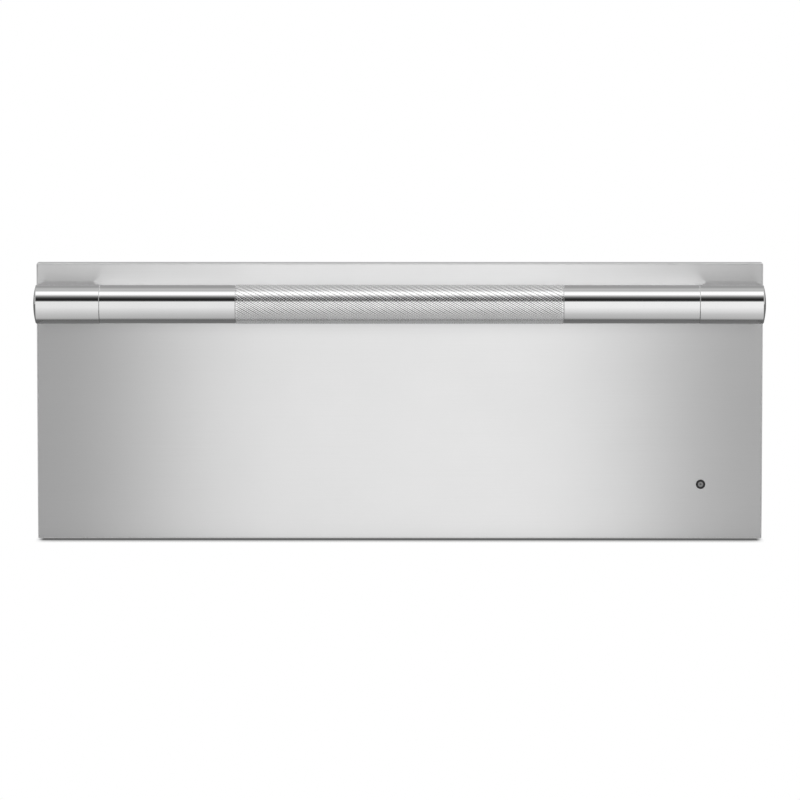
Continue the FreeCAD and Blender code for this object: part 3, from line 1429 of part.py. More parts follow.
for place, name in enumerate(BUTTON_NAMES):
    NODES["button_" + name] = lambda place=place: button(place)


def main():
    """Build every node and write it to parts/."""
    os.makedirs("parts", exist_ok=True)
    for name, build in NODES.items():
        made = build()
        solids = made if isinstance(made, list) else made.Solids
        shape = solids[0] if len(solids) == 1 else Part.makeCompound(solids)
        if not shape.isValid() or shape.Volume <= 0:
            print("check", name, shape.isValid(), shape.Volume)
        shape.exportStep("parts/" + name + ".step")


main()
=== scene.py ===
"""Warming drawer: finishes, knurled grip and studio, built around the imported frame.

Metres throughout, +Z up, +X to the right seen from the front, +Y from the handle towards the back.
"""

import logging
import math
from collections.abc import Callable, Mapping, Sequence
from dataclasses import dataclass
from enum import Enum
from functools import cache

import bpy
import numpy as np
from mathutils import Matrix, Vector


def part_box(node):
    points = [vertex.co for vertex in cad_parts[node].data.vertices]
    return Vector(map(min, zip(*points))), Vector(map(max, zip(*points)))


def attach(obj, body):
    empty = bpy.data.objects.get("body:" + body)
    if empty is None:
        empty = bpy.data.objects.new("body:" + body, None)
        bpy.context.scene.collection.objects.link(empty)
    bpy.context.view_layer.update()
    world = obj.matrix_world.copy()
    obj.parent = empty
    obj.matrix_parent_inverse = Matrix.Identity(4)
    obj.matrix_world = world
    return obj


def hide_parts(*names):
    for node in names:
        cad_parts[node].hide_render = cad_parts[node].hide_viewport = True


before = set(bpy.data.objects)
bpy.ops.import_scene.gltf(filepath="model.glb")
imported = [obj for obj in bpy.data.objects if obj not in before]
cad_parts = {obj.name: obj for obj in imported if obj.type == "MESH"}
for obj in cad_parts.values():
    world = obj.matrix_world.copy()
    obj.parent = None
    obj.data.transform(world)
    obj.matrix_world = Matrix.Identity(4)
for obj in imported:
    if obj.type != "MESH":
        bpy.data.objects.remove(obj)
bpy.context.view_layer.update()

LOG = logging.getLogger("warming_drawer")
MM = 0.001
# the groove attribute also sets the painted shade in the knurl's grooves
GROOVE = "groove"  # the grip's attribute: how deep in the knurl a corner lies, from 0 to 1

Triple = tuple[float, float, float]
Span = tuple[float, float]
Socket = bpy.types.NodeSocket
Value = float | Socket | Sequence[float]
Inputs = dict[str, Value]


def grey(level: float) -> Triple:
    """A neutral colour of one linear level."""
    return (level, level, level)


# ---- node trees
class Graph:
    """One node tree, with short calls that add nodes and link them."""

    def __init__(self, tree: bpy.types.NodeTree) -> None:
        """Keep the tree that the calls write into."""
        self.tree = tree

    def add(self, kind: str, inputs: Mapping[str | int, Value] | None = None,
            **settings: object) -> bpy.types.Node:
        """Add a node.

        Args:
            kind: Blender's type name of the node.
            inputs: value or linked socket of each input, by its name or number.
            settings: properties of the node itself.

        Returns:
            The new node.
        """
        node = self.tree.nodes.new(kind)
        for name, value in settings.items():
            setattr(node, name, value)
        for key, value in (inputs or {}).items():
            self.give(node.inputs[key], value)
        return node

    def give(self, target: Socket, value: Value) -> None:
        """Link a socket to an input, or set the input's own value."""
        if isinstance(value, bpy.types.NodeSocket):
            self.tree.links.new(value, target)
        elif target.type == "RGBA" and len(value) == 3:
            target.default_value = (*value, 1.0)
        else:
            target.default_value = value

    def math(self, operation: str, first: Value, second: Value = 0.0, clamp: bool = False) -> Socket:
        """One arithmetic step on one or two values."""
        node = self.add("ShaderNodeMath", {0: first, 1: second}, operation=operation, use_clamp=clamp)
        return node.outputs[0]

    def times(self, first: Value, second: Value, clamp: bool = False) -> Socket:
        """Two values multiplied."""
        return self.math("MULTIPLY", first, second, clamp)

    def vector(self, operation: str, output: str, first: Value, *second: Value) -> Socket:
        """One step on one or two vectors."""
        inputs = dict(enumerate((first, *second)))
        return self.add("ShaderNodeVectorMath", inputs, operation=operation).outputs[output]

    def stretch(self, vector: Value, scale: Sequence[float], move: Triple = (0.0, 0.0, 0.0)) -> Socket:
        """Coordinates scaled along each axis, then moved."""
        return self.add("ShaderNodeMapping", {"Vector": vector, "Scale": scale, "Location": move}).outputs[0]

    def turned(self, vector: Value, rotation: Triple) -> Socket:
        """Coordinates turned about the three axes, in radians."""
        return self.add("ShaderNodeMapping", {"Vector": vector, "Rotation": rotation}).outputs[0]

    def noise(self, vector: Value, scale: Value, detail: float = 2.0, roughness: float = 0.5) -> Socket:
        """Smooth random values from 0 to 1."""
        node = self.add("ShaderNodeTexNoise", {"Vector": vector, "Scale": scale, "Detail": detail,
                                               "Roughness": roughness})
        return node.outputs[0]

    def spread(self, value: Value, low: Value, high: Value, to_low: Value, to_high: Value) -> Socket:
        """A value carried from one range to another, and held at its ends."""
        node = self.add("ShaderNodeMapRange", {"Value": value, "From Min": low, "From Max": high,
                                               "To Min": to_low, "To Max": to_high})
        return node.outputs[0]

    def between(self, factor: Value, start: Value, end: Value) -> Socket:
        """From start to end, as the factor goes from 0 to 1."""
        return self.spread(factor, 0.0, 1.0, start, end)

    def ramp(self, factor: Value, stops: Sequence[tuple[float, Triple]]) -> Socket:
        """A colour picked by a value, straight between the stops."""
        node = self.add("ShaderNodeValToRGB", {"Fac": factor})
        bar = node.color_ramp.elements
        while len(bar) < len(stops):
            bar.new(1.0)
        for element, (place, colour) in zip(bar, stops):
            element.position = place
            element.color = (*colour, 1.0)
        return node.outputs["Color"]

    def blend(self, factor: Value, first: Value, second: Value, mode: str = "MIX") -> Socket:
        """Two colours mixed by a factor."""
        node = self.add("ShaderNodeMix", {0: factor, 6: first, 7: second}, data_type="RGBA", blend_type=mode)
        return node.outputs[2]

    def neutral(self, level: Value) -> Socket:
        """A grey made of one value."""
        return self.add("ShaderNodeCombineColor", {0: level, 1: level, 2: level}).outputs[0]

    def shaded(self, colour: Value, level: Value) -> Socket:
        """A colour times a level."""
        return self.blend(1.0, colour, self.neutral(level), "MULTIPLY")

    def mixed(self, factor: Value, first: Socket, second: Socket) -> Socket:
        """Two shaders mixed by a factor."""
        return self.add("ShaderNodeMixShader", {0: factor, 1: first, 2: second}).outputs[0]

    def split(self, vector: Value) -> Sequence[Socket]:
        """The three parts of a vector."""
        return tuple(self.add("ShaderNodeSeparateXYZ", {0: vector}).outputs)

    def bump(self, height: Value, depth: float, normal: Socket | None = None) -> Socket:
        """A normal tilted by a height from 0 to 1, whose whole range is so many metres deep."""
        inputs: dict[str | int, Value] = {"Height": height, "Distance": depth, "Strength": 1.0}
        if normal is not None:
            inputs["Normal"] = normal
        return self.add("ShaderNodeBump", inputs).outputs[0]

    def rounded(self, radius: Value) -> Socket:
        """The face's normal, turned over its edges within a radius."""
        return self.add("ShaderNodeBevel", {"Radius": radius}, samples=4).outputs[0]


Writer = Callable[[Graph, Mapping[str, Socket]], Socket]


@dataclass
class Effect:
    """A shader node group that several finishes share, built when it is first placed.

    Attributes:
        name: the group's name.
        result: its output's name.
        defaults: its value inputs with their defaults, after a Vector input.
        write: adds its nodes; takes its graph and its inputs, returns the socket to put out.
        tree: the group, once built.
    """

    name: str
    result: str
    defaults: Mapping[str, float]
    write: Writer
    tree: bpy.types.NodeTree | None = None

    def __call__(self, graph: Graph, vector: Value, **values: Value) -> Socket:
        """Place the effect in a material with its own values, and give its output."""
        if self.tree is None:
            self.tree = self.built()
        node = graph.tree.nodes.new("ShaderNodeGroup")
        node.node_tree = self.tree
        for key, value in {"Vector": vector, **values}.items():
            graph.give(node.inputs[key], value)
        return node.outputs[0]

    def built(self) -> bpy.types.NodeTree:
        """Build the group."""
        tree = bpy.data.node_groups.new(self.name, "ShaderNodeTree")
        tree.interface.new_socket(name="Vector", in_out="INPUT", socket_type="NodeSocketVector")
        for name, default in self.defaults.items():
            socket = tree.interface.new_socket(name=name, in_out="INPUT", socket_type="NodeSocketFloat")
            socket.default_value = default
        tree.interface.new_socket(name=self.result, in_out="OUTPUT", socket_type="NodeSocketFloat")
        graph = Graph(tree)
        given = tree.nodes.new("NodeGroupInput")
        out = tree.nodes.new("NodeGroupOutput")
        graph.give(out.inputs[self.result], self.write(graph, given.outputs))
        return tree


def effect(result: str, **defaults: float) -> Callable[[Writer], Effect]:
    """Make an effect of the function that adds its nodes, under that function's name."""
    return lambda write: Effect(write.__name__, result, defaults, write)


@effect("Grain", Contrast=1.6)
def brushing(graph: Graph, given: Mapping[str, Socket]) -> Socket:
    """Grain of a brushed surface: a coarse and a fine noise, drawn out by the caller's Mapping."""
    coarse = graph.noise(given["Vector"], 1.0, 1.0)
    fine = graph.noise(given["Vector"], 3.7, 2.0, 0.7)
    both = graph.math("ADD", graph.times(coarse, 0.4), graph.times(fine, 0.6))
    swing = graph.times(graph.math("SUBTRACT", both, 0.5), given["Contrast"])
    return graph.math("ADD", swing, 0.5, clamp=True)


@effect("Level", Scale=20.0, Low=0.9, High=1.1)
def mottling(graph: Graph, given: Mapping[str, Socket]) -> Socket:
    """Slow change over a surface, from Low to High: handling marks, batches, uneven heat."""
    slow = graph.noise(given["Vector"], given["Scale"], 4.0, 0.6)
    return graph.spread(slow, 0.3, 0.7, given["Low"], given["High"])


@effect("Mask", Radius=0.6 * MM, Amount=1.0)
def edge_wear(graph: Graph, given: Mapping[str, Socket]) -> Socket:
    """Mask of outer edges: where a normal rounded over Radius leaves the face's own, broken by noise."""
    plain = graph.add("ShaderNodeNewGeometry").outputs["Normal"]
    facing = graph.vector("DOT_PRODUCT", "Value", graph.rounded(given["Radius"]), plain)
    edge = graph.spread(facing, 0.995, 0.85, 0.0, 1.0)
    broken = graph.spread(graph.noise(given["Vector"], 260.0, 3.0), 0.35, 0.65, 0.0, 1.0)
    return graph.times(graph.times(edge, broken), given["Amount"], clamp=True)


@effect("Mask", Amount=0.2)
def dust(graph: Graph, given: Mapping[str, Socket]) -> Socket:
    """Mask of dust: faces that look up, in soft patches."""
    normal = graph.add("ShaderNodeNewGeometry").outputs["Normal"]
    upward = graph.spread(graph.split(normal)[2], 0.6, 1.0, 0.0, 1.0)
    patches = graph.spread(graph.noise(given["Vector"], 45.0, 5.0, 0.65), 0.3, 0.75, 0.2, 1.0)
    return graph.times(graph.times(upward, patches), given["Amount"], clamp=True)


@effect("Mask", Density=0.5)
def hairlines(graph: Graph, given: Mapping[str, Socket]) -> Socket:
    """Sparse hairline scratches: thin crests of two drawn-out noises that cross each other."""
    crests = []
    for turn in (0.35, -0.8):
        lines = graph.stretch(graph.turned(given["Vector"], (turn, turn, turn)), (40.0, 900.0, 900.0))
        crests.append(graph.spread(graph.noise(lines, 1.0, 1.0), 0.68, 0.74, 0.0, 1.0))
    return graph.times(graph.math("MAXIMUM", *crests), given["Density"], clamp=True)


@effect("Height", Scale=900.0)
def pebbling(graph: Graph, given: Mapping[str, Socket]) -> Socket:
    """Height of a moulded or sprayed skin: rounded cells with a finer noise on them."""
    cells = graph.noise(given["Vector"], given["Scale"], 1.0)
    finer = graph.noise(given["Vector"], graph.times(given["Scale"], 3.1), 2.0)
    return graph.math("ADD", graph.times(cells, 0.7), graph.times(finer, 0.3))


# ---- finishes
@dataclass(frozen=True)
class Finish:
    """What every finish has: a name, and what its Principled shader is given."""

    name: str

    def inputs(self, graph: Graph, place: Socket) -> Inputs:
        """Add the finish's nodes.

        Args:
            graph: the material's graph.
            place: Object coordinates.

        Returns:
            The shader's inputs by name, each with the socket to link or with its own value.
        """
        raise NotImplementedError

    def material(self) -> bpy.types.Material:
        """Build the material."""
        material = bpy.data.materials.new(self.name)
        material.use_nodes = True
        graph = Graph(material.node_tree)
        place = graph.add("ShaderNodeTexCoord").outputs["Object"]
        shader = material.node_tree.nodes["Principled BSDF"].inputs
        for name, value in self.inputs(graph, place).items():
            graph.give(shader[name], value)
        return material


@cache
def made(finish: Finish) -> bpy.types.Material:
    """The material of a finish, built once."""
    return finish.material()


@dataclass(frozen=True)
class BrushedSteel(Finish):
    """Stainless sheet with fine lines drawn one way."""

    tone: float = 0.6
    grain_scale: Triple = (6.0, 1400.0, 1400.0)
    grain_depth: float = 0.0006 * MM
    contrast: float = 0.03
    roughness: float = 0.4
    anisotropy: float = 0.6
    turn: float = 0.25
    edge_radius: float = 0.4 * MM

    def base_normal(self, graph: Graph, place: Socket) -> Socket:
        """Normal of the sheet before its grain: the face's own, turned over its edges."""
        return graph.rounded(self.edge_radius)

    def inputs(self, graph: Graph, place: Socket) -> Inputs:
        """Metal whose tone, roughness and height follow the grain."""
        grain = brushing(graph, graph.stretch(place, self.grain_scale))
        level = mottling(graph, place, Scale=9.0, Low=0.985, High=1.015)
        lines = graph.between(grain, self.tone * (1 - self.contrast), self.tone * (1 + self.contrast))
        return {"Base Color": graph.neutral(graph.times(lines, level)),
                "Roughness": graph.between(grain, self.roughness * 0.9, self.roughness * 1.1),
                "Normal": graph.bump(grain, self.grain_depth, self.base_normal(graph, place)),
                "Metallic": 1.0, "Anisotropic": self.anisotropy, "Anisotropic Rotation": self.turn}


@dataclass(frozen=True)
class CrownedSteel(BrushedSteel):
    """Brushed sheet whose shading normals lean back gently towards its left and right ends, less so above the
    handle.

    The shares above the handle are those of the left and right halves.
    """

    start: float = 30.0 * MM
    run: float = 340.0 * MM
    slope: float = 0.075
    shelter: Span = (235.0 * MM, 262.0 * MM)
    shares_above: Span = (0.6, 0.85)
    halves: Span = (-40.0 * MM, 40.0 * MM)

    def base_normal(self, graph: Graph, place: Socket) -> Socket:
        """Lean the rounded normal outwards.

        With u how many runs |x| lies beyond the crown's start, held between 0 and 1, the lean is
        slope * (3u^2 - 2u^3), away from the middle. Above the shelter only the share above is left of it.

        Args:
            graph: the material's graph.
            place: Object coordinates.

        Returns:
            The leaning normal, of length 1.
        """
        x, _, z = graph.split(place)
        beyond = graph.math("SUBTRACT", graph.math("ABSOLUTE", x), self.start)
        u = graph.math("DIVIDE", beyond, self.run, clamp=True)
        step = graph.times(graph.math("POWER", u, 2.0), graph.math("SUBTRACT", 3.0, graph.times(u, 2.0)))
        share = graph.spread(z, *self.shelter, 1.0, graph.spread(x, *self.halves, *self.shares_above))
        lean = graph.times(graph.times(step, graph.times(share, self.slope)), graph.math("SIGN", x))
        outward = graph.add("ShaderNodeCombineXYZ", {"X": lean}).outputs[0]
        both = graph.vector("ADD", "Vector", graph.rounded(self.edge_radius), outward)
        return graph.vector("NORMALIZE", "Vector", both)


@dataclass(frozen=True)
class PolishedSteel(Finish):
    """Bright polished stainless with faint handling marks and hairlines."""

    tone: float = 0.81
    roughness: float = 0.05
    smudge: float = 0.03
    hair_roughness: float = 0.05
    hair_depth: float = 0.0003 * MM
    edge_radius: float = 0.12 * MM

    def inputs(self, graph: Graph, place: Socket) -> Inputs:
        """Metal, nearly a mirror, whose roughness wanders."""
        smudges = mottling(graph, place, Scale=14.0, Low=0.0, High=self.smudge)
        hairs = hairlines(graph, place, Density=0.25)
        rough = graph.math("ADD", graph.math("ADD", smudges, self.roughness),
                           graph.times(hairs, self.hair_roughness))
        tone = graph.spread(smudges, 0.0, self.smudge, self.tone * 1.01, self.tone * 0.98)
        return {"Base Color": graph.neutral(tone), "Roughness": rough, "Metallic": 1.0,
                "Normal": graph.bump(hairs, self.hair_depth, graph.rounded(self.edge_radius))}


@dataclass(frozen=True)
class KnurledSteel(Finish):
    """Knurled stainless: bright flats, duller grooves with painted shade, read from the mesh's groove
    attribute.
    """

    tone: float = 0.93
    groove_shade_tone: float = 0.66
    flat_roughness: float = 0.14
    groove_roughness: float = 0.22

    def inputs(self, graph: Graph, place: Socket) -> Inputs:
        """Metal whose roughness and painted shade change with how deep a point lies in the knurl."""
        depth = graph.add("ShaderNodeAttribute", attribute_name=GROOVE).outputs["Fac"]
        level = mottling(graph, place, Scale=60.0, Low=0.96, High=1.03)
        # painted shade: the base colour darkens from the flats' tone to the groove tone as the groove attribute
        # rises
        tone = graph.times(graph.between(depth, self.tone, self.groove_shade_tone), level)
        return {"Base Color": graph.neutral(tone), "Metallic": 1.0,
                "Roughness": graph.between(depth, self.flat_roughness, self.groove_roughness)}


@dataclass(frozen=True)
class GalvanisedSteel(Finish):
    """Hot-dip zinc on steel sheet: crystals of a few greys, each with its own gloss."""

    crystals: float = 120.0
    dark: float = 0.72
    light: float = 0.88
    speckle: float = 0.25
    waviness: float = 0.012
    blue: Triple = (0.975, 0.99, 1.0)
    rubbed: float = 0.72
    dust_colour: Triple = (0.52, 0.5, 0.47)
    edge_radius: float = 0.5 * MM

    def inputs(self, graph: Graph, place: Socket) -> Inputs:
        """Metal broken into crystals, with dust on top and brighter worn edges."""
        waves = graph.add("ShaderNodeTexNoise", {"Vector": place, "Scale": 40.0, "Detail": 3.0})
        bent = graph.blend(self.waviness, place, waves.outputs["Color"])
        cell = graph.add("ShaderNodeTexVoronoi", {"Vector": bent, "Scale": self.crystals}).outputs
        shade, gloss, _ = graph.split(cell["Color"])
        level = graph.math("ADD", shade, graph.times(graph.noise(place, 900.0, 2.0), self.speckle))
        tone = graph.spread(level, 0.0, 1.0 + self.speckle, self.dark, self.light)
        zinc = graph.ramp(tone, [(0.0, grey(0.0)), (1.0, self.blue)])
        worn = edge_wear(graph, place, Radius=self.edge_radius, Amount=0.6)
        bright = graph.blend(worn, zinc, grey(self.rubbed))
        settled = dust(graph, place, Amount=0.12)
        return {"Base Color": graph.blend(settled, bright, self.dust_colour),
                "Roughness": graph.between(gloss, 0.34, 0.52),
                "Metallic": graph.math("SUBTRACT", 0.95, settled),
                "Normal": graph.bump(cell["Distance"], 0.01 * MM, graph.rounded(self.edge_radius))}


@dataclass(frozen=True)
class CoatedSteel(Finish):
    """Steel with a baked powder coat that is rubbed through at its edges."""

    colour: Triple = (0.03, 0.031, 0.033)
    bare_metal: float = 0.42
    roughness: float = 0.42
    peel_depth: float = 0.015 * MM

    def inputs(self, graph: Graph, place: Socket) -> Inputs:
        """Coat with orange peel, and bare metal where it is worn."""
        peel = pebbling(graph, place, Scale=700.0)
        worn = edge_wear(graph, place, Radius=0.5 * MM, Amount=0.5)
        coat = graph.shaded(self.colour, mottling(graph, place, Scale=18.0, Low=0.85, High=1.15))
        return {"Base Color": graph.blend(worn, coat, grey(self.bare_metal)), "Metallic": worn,
                "Roughness": graph.spread(peel, 0.2, 0.8, self.roughness - 0.05, self.roughness + 0.08),
                "Normal": graph.bump(peel, self.peel_depth, graph.rounded(0.4 * MM))}


@dataclass(frozen=True)
class PlatedSteel(Finish):
    """Zinc-plated small parts and rails: bluish, with a yellowish bloom and rubbed edges."""

    tone: float = 0.66
    roughness: float = 0.3
    grain_scale: Triple = (300.0, 300.0, 300.0)
    grain_depth: float = 0.002 * MM
    bluish: Triple = (0.96, 0.99, 1.03)
    yellowish: Triple = (1.03, 1.0, 0.93)
    rubbed: float = 0.8

    def inputs(self, graph: Graph, place: Socket) -> Inputs:
        """Plated metal with a faint grain."""
        grain = brushing(graph, graph.stretch(place, self.grain_scale))
        bloom = mottling(graph, place, Scale=55.0, Low=0.0, High=1.0)
        worn = edge_wear(graph, place, Radius=0.3 * MM, Amount=0.7)
        cool, warm = (tuple(self.tone * part for part in cast) for cast in (self.bluish, self.yellowish))
        lined = graph.shaded(graph.blend(bloom, cool, warm), graph.between(grain, 0.93, 1.05))
        return {"Base Color": graph.blend(worn, lined, grey(self.rubbed)), "Metallic": 1.0,
                "Roughness": graph.between(grain, self.roughness * 0.85, self.roughness * 1.2),
                "Normal": graph.bump(grain, self.grain_depth, graph.rounded(0.25 * MM))}


@dataclass(frozen=True)
class OxidisedSheath(Finish):
    """Nickel alloy sheath of the element, darkened by heat into browns and blues."""

    roughness: float = 0.5
    scale_depth: float = 0.01 * MM

    def inputs(self, graph: Graph, place: Socket) -> Inputs:
        """Dull metal with bands of heat colour."""
        heat = mottling(graph, place, Scale=22.0, Low=0.0, High=1.0)
        scale = graph.noise(place, 800.0, 4.0, 0.7)
        colour = graph.ramp(heat, [(0.0, (0.06, 0.052, 0.046)), (0.45, (0.115, 0.088, 0.066)),
                                   (0.75, (0.09, 0.085, 0.095)), (1.0, (0.17, 0.15, 0.13))])
        return {"Base Color": graph.shaded(colour, graph.spread(scale, 0.3, 0.7, 0.7, 1.2)), "Metallic": 0.8,
                "Roughness": graph.spread(scale, 0.3, 0.7, self.roughness - 0.1, self.roughness + 0.15),
                "Normal": graph.bump(scale, self.scale_depth)}


@dataclass(frozen=True)
class Moulded(Finish):
    """Moulded plastic, rubber or silicone with a fine skin."""

    colour: Triple = (0.02, 0.02, 0.021)
    roughness: float = 0.45
    skin_scale: float = 1500.0
    skin_depth: float = 0.01 * MM
    wear: float = 0.4
    rubbing: Span = (1.5, 0.03)  # a rubbed edge's colour is so many times the skin's, and so much more
    dust: float = 0.08
    dust_colour: Triple = (0.45, 0.43, 0.4)
    coat: float = 0.0

    def inputs(self, graph: Graph, place: Socket) -> Inputs:
        """Skin with pebbling, paler rubbed edges and a little dust."""
        skin = pebbling(graph, place, Scale=self.skin_scale)
        worn = edge_wear(graph, place, Radius=0.35 * MM, Amount=self.wear)
        base = graph.shaded(self.colour, mottling(graph, place, Scale=30.0, Low=0.9, High=1.1))
        gain, lift = self.rubbing
        rubbed = graph.blend(worn, base, tuple(min(1.0, part * gain + lift) for part in self.colour))
        settled = dust(graph, place, Amount=self.dust)
        return {"Base Color": graph.blend(settled, rubbed, self.dust_colour), "Coat Weight": self.coat,
                "Roughness": graph.spread(skin, 0.2, 0.8, self.roughness - 0.06, self.roughness + 0.08),
                "Normal": graph.bump(skin, self.skin_depth, graph.rounded(0.3 * MM))}


@dataclass(frozen=True)
class Lens(Finish):
    """Smoked lens of the status light: darkest in its middle, palest in a ring round that, and darker again at
    its rim.
    """

    centre: Triple = (0.0, 0.0, 0.0)
    radius: float = 3.0 * MM
    rings: Sequence[Span] = ((0.0, 0.08), (0.3, 0.1), (0.5, 0.26), (0.85, 0.3), (1.0, 0.12))

    def inputs(self, graph: Graph, place: Socket) -> Inputs:
        """Glossy lens with rings that follow the distance from its middle."""
        local = graph.stretch(place, (1.0 / self.radius, 0.0, 1.0 / self.radius),
                              (-self.centre[0] / self.radius, 0.0, -self.centre[2] / self.radius))
        rings = graph.ramp(graph.vector("LENGTH", "Value", local),
                           [(away, grey(level)) for away, level in self.rings])
        cloud = mottling(graph, place, Scale=500.0, Low=0.92, High=1.08)
        return {"Base Color": graph.shaded(rings, cloud), "Coat Weight": 0.5,
                "Roughness": graph.spread(cloud, 0.9, 1.1, 0.2, 0.3)}


@dataclass(frozen=True)
class Wool(Finish):
    """Mineral wool: matted fibres, cream to straw."""

    fibre_height: float = 0.8 * MM

    def inputs(self, graph: Graph, place: Socket) -> Inputs:
        """Matt felt whose fibres show in colour and height."""
        slanted = graph.turned(place, (0.4, 0.9, 0.6))
        long, cross = (graph.noise(graph.stretch(lie, scale), 1.0, 5.0, 0.7)
                       for lie, scale in ((place, (260.0, 900.0, 260.0)), (slanted, (900.0, 240.0, 500.0))))
        fibre = graph.math("MAXIMUM", long, cross)
        clumps = mottling(graph, place, Scale=35.0, Low=0.8, High=1.1)
        colour = graph.ramp(fibre, [(0.35, (0.3, 0.25, 0.14)), (0.55, (0.6, 0.54, 0.36)),
                                    (0.8, (0.8, 0.75, 0.58))])
        return {"Base Color": graph.shaded(colour, clumps), "Normal": graph.bump(fibre, self.fibre_height),
                "Roughness": graph.spread(fibre, 0.3, 0.8, 0.98, 0.85)}


@dataclass(frozen=True)
class CircuitBoard(Finish):
    """Solder mask with tracks on the sheet; black and cream bodies on the parts that stand off it."""

    axis: int = 1  # across the sheet
    rear: float = 0.0  # of the sheet, along that axis
    thickness: float = 1.6 * MM
    skin_share: float = 0.6  # of the thickness, from the sheet's middle to where its parts start
    lamps_before: float = -1.0
    lamp_colour: Triple = (0.62, 0.6, 0.52)
    mask_colour: Triple = (0.008, 0.075, 0.028)
    track_colour: Triple = (0.02, 0.16, 0.06)
    track_height: float = 0.03 * MM

    def inputs(self, graph: Graph, place: Socket) -> Inputs:
        """Green in the sheet's thickness, component colours off it, and pale where the lamps stand furthest."""
        across = graph.split(place)[self.axis]
        away = graph.math("ABSOLUTE", graph.math("SUBTRACT", across, self.rear - self.thickness / 2))
        part = graph.math("GREATER_THAN", away, self.skin_share * self.thickness)
        upright = graph.turned(place, (math.pi / 2, 0.0, 0.0))
        tracks = graph.add("ShaderNodeTexBrick", {"Vector": upright, "Scale": 160.0, "Mortar Size": 0.12,
                                                  "Mortar Smooth": 0.1, "Color1": grey(0.0),
                                                  "Color2": grey(0.15), "Mortar": grey(1.0)}).outputs["Fac"]
        mask = graph.blend(tracks, self.mask_colour, self.track_colour)
        lots = graph.add("ShaderNodeTexVoronoi", {"Vector": place, "Scale": 45.0}).outputs["Color"]
        bodies = graph.ramp(graph.split(lots)[0], [(0.0, grey(0.015)), (0.6, grey(0.02)),
                                                   (0.62, (0.5, 0.47, 0.4)), (1.0, (0.02, 0.03, 0.09))])
        lamp = graph.math("LESS_THAN", across, self.lamps_before)
        return {"Base Color": graph.blend(lamp, graph.blend(part, mask, bodies), self.lamp_colour),
                "Roughness": graph.between(part, 0.28, 0.5),
                "Normal": graph.bump(tracks, self.track_height, graph.rounded(0.25 * MM))}


@dataclass(frozen=True)
class Print(Finish):
    """Pale ink pressed onto a moulding, thin in places."""

    colour: Triple = (0.7, 0.7, 0.68)
    skin_depth: float = 0.004 * MM

    def inputs(self, graph: Graph, place: Socket) -> Inputs:
        """Matt ink whose cover wanders."""
        cover = mottling(graph, place, Scale=900.0, Low=0.85, High=1.05)
        skin = pebbling(graph, place, Scale=2500.0)
        return {"Base Color": graph.shaded(self.colour, cover), "Normal": graph.bump(skin, self.skin_depth),
                "Roughness": graph.spread(cover, 0.85, 1.05, 0.7, 0.5)}


GALVANISED = GalvanisedSteel("galvanised_casing_sheet")
PLATED = PlatedSteel("plated_fasteners", tone=0.7, roughness=0.28)
POLISHED = PolishedSteel("polished_bar_steel")
KNURLED = KnurledSteel("knurled_bar_steel")
WOOL = Wool("mineral_wool_felt")
BLACK = Moulded("black_moulding")
PRINT = Print("button_print")


# ---- meshes
def added(name: str, data: bpy.types.ID, place: Triple = (0.0, 0.0, 0.0),
          turn: Triple = (0.0, 0.0, 0.0)) -> bpy.types.Object:
    """A new object in the scene, at a place and turned by degrees about each axis."""
    item = bpy.data.objects.new(name, data)
    item.location = place
    item.rotation_euler = [math.radians(angle) for angle in turn]
    bpy.context.scene.collection.objects.link(item)
    return item


def shell(name: str, points: np.ndarray, faces: Sequence[np.ndarray],
          finish: Finish) -> bpy.types.Object:
    """Make one closed piece of the object.

    Args:
        name: the piece's name.
        points: its corners, one row each, in metres.
        faces: arrays of corner numbers; each array holds faces of one size.
        finish: what it is finished with.

    Returns:
        The piece, at the origin, with its place in its mesh.
    """
    mesh = bpy.data.meshes.new(name)
    mesh.from_pydata(points.tolist(), [], [face for kind in faces for face in kind.tolist()])
    mesh.materials.append(made(finish))
    mesh.validate()
    piece = added(name, mesh)
    LOG.info("%s: %d corners, %d faces", name, len(mesh.vertices), len(mesh.polygons))
    return piece


def band(first: np.ndarray, second: np.ndarray) -> np.ndarray:
    """Four-sided faces between two closed loops of corner numbers; the last one closes the loops."""
    return np.stack([first, np.roll(first, -1), np.roll(second, -1), second], axis=1)


def fan(loop: np.ndarray, middle: int) -> np.ndarray:
    """Triangles from a closed loop of corner numbers to one corner."""
    return np.stack([loop, np.roll(loop, -1), np.full(len(loop), middle)], axis=1)


def solids_of(node: str) -> list[np.ndarray]:
    """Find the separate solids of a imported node.

    Corners in one place are one corner. Each triangle then hands the lowest number among its three corners
    to all of them, over and over, until every solid has one number of its own.

    Args:
        node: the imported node.

    Returns:
        The corners of each solid, one array each.
    """
    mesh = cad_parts[node].data
    places = np.empty(3 * len(mesh.vertices))
    mesh.vertices.foreach_get("co", places)
    loops = np.empty(len(mesh.loops), np.int64)
    mesh.loops.foreach_get("vertex_index", loops)
    corners, merged = np.unique(places.reshape(-1, 3), axis=0, return_inverse=True)
    triangles = merged.ravel()[loops].reshape(-1, 3)
    label = np.arange(len(corners))
    settled = False
    while not settled:
        lower = label.copy()
        np.minimum.at(lower, triangles, label[triangles].min(axis=1)[:, None])
        lower = lower[lower]
        settled = bool((lower == label).all())
        label = lower
    return [corners[label == number] for number in np.unique(label)]


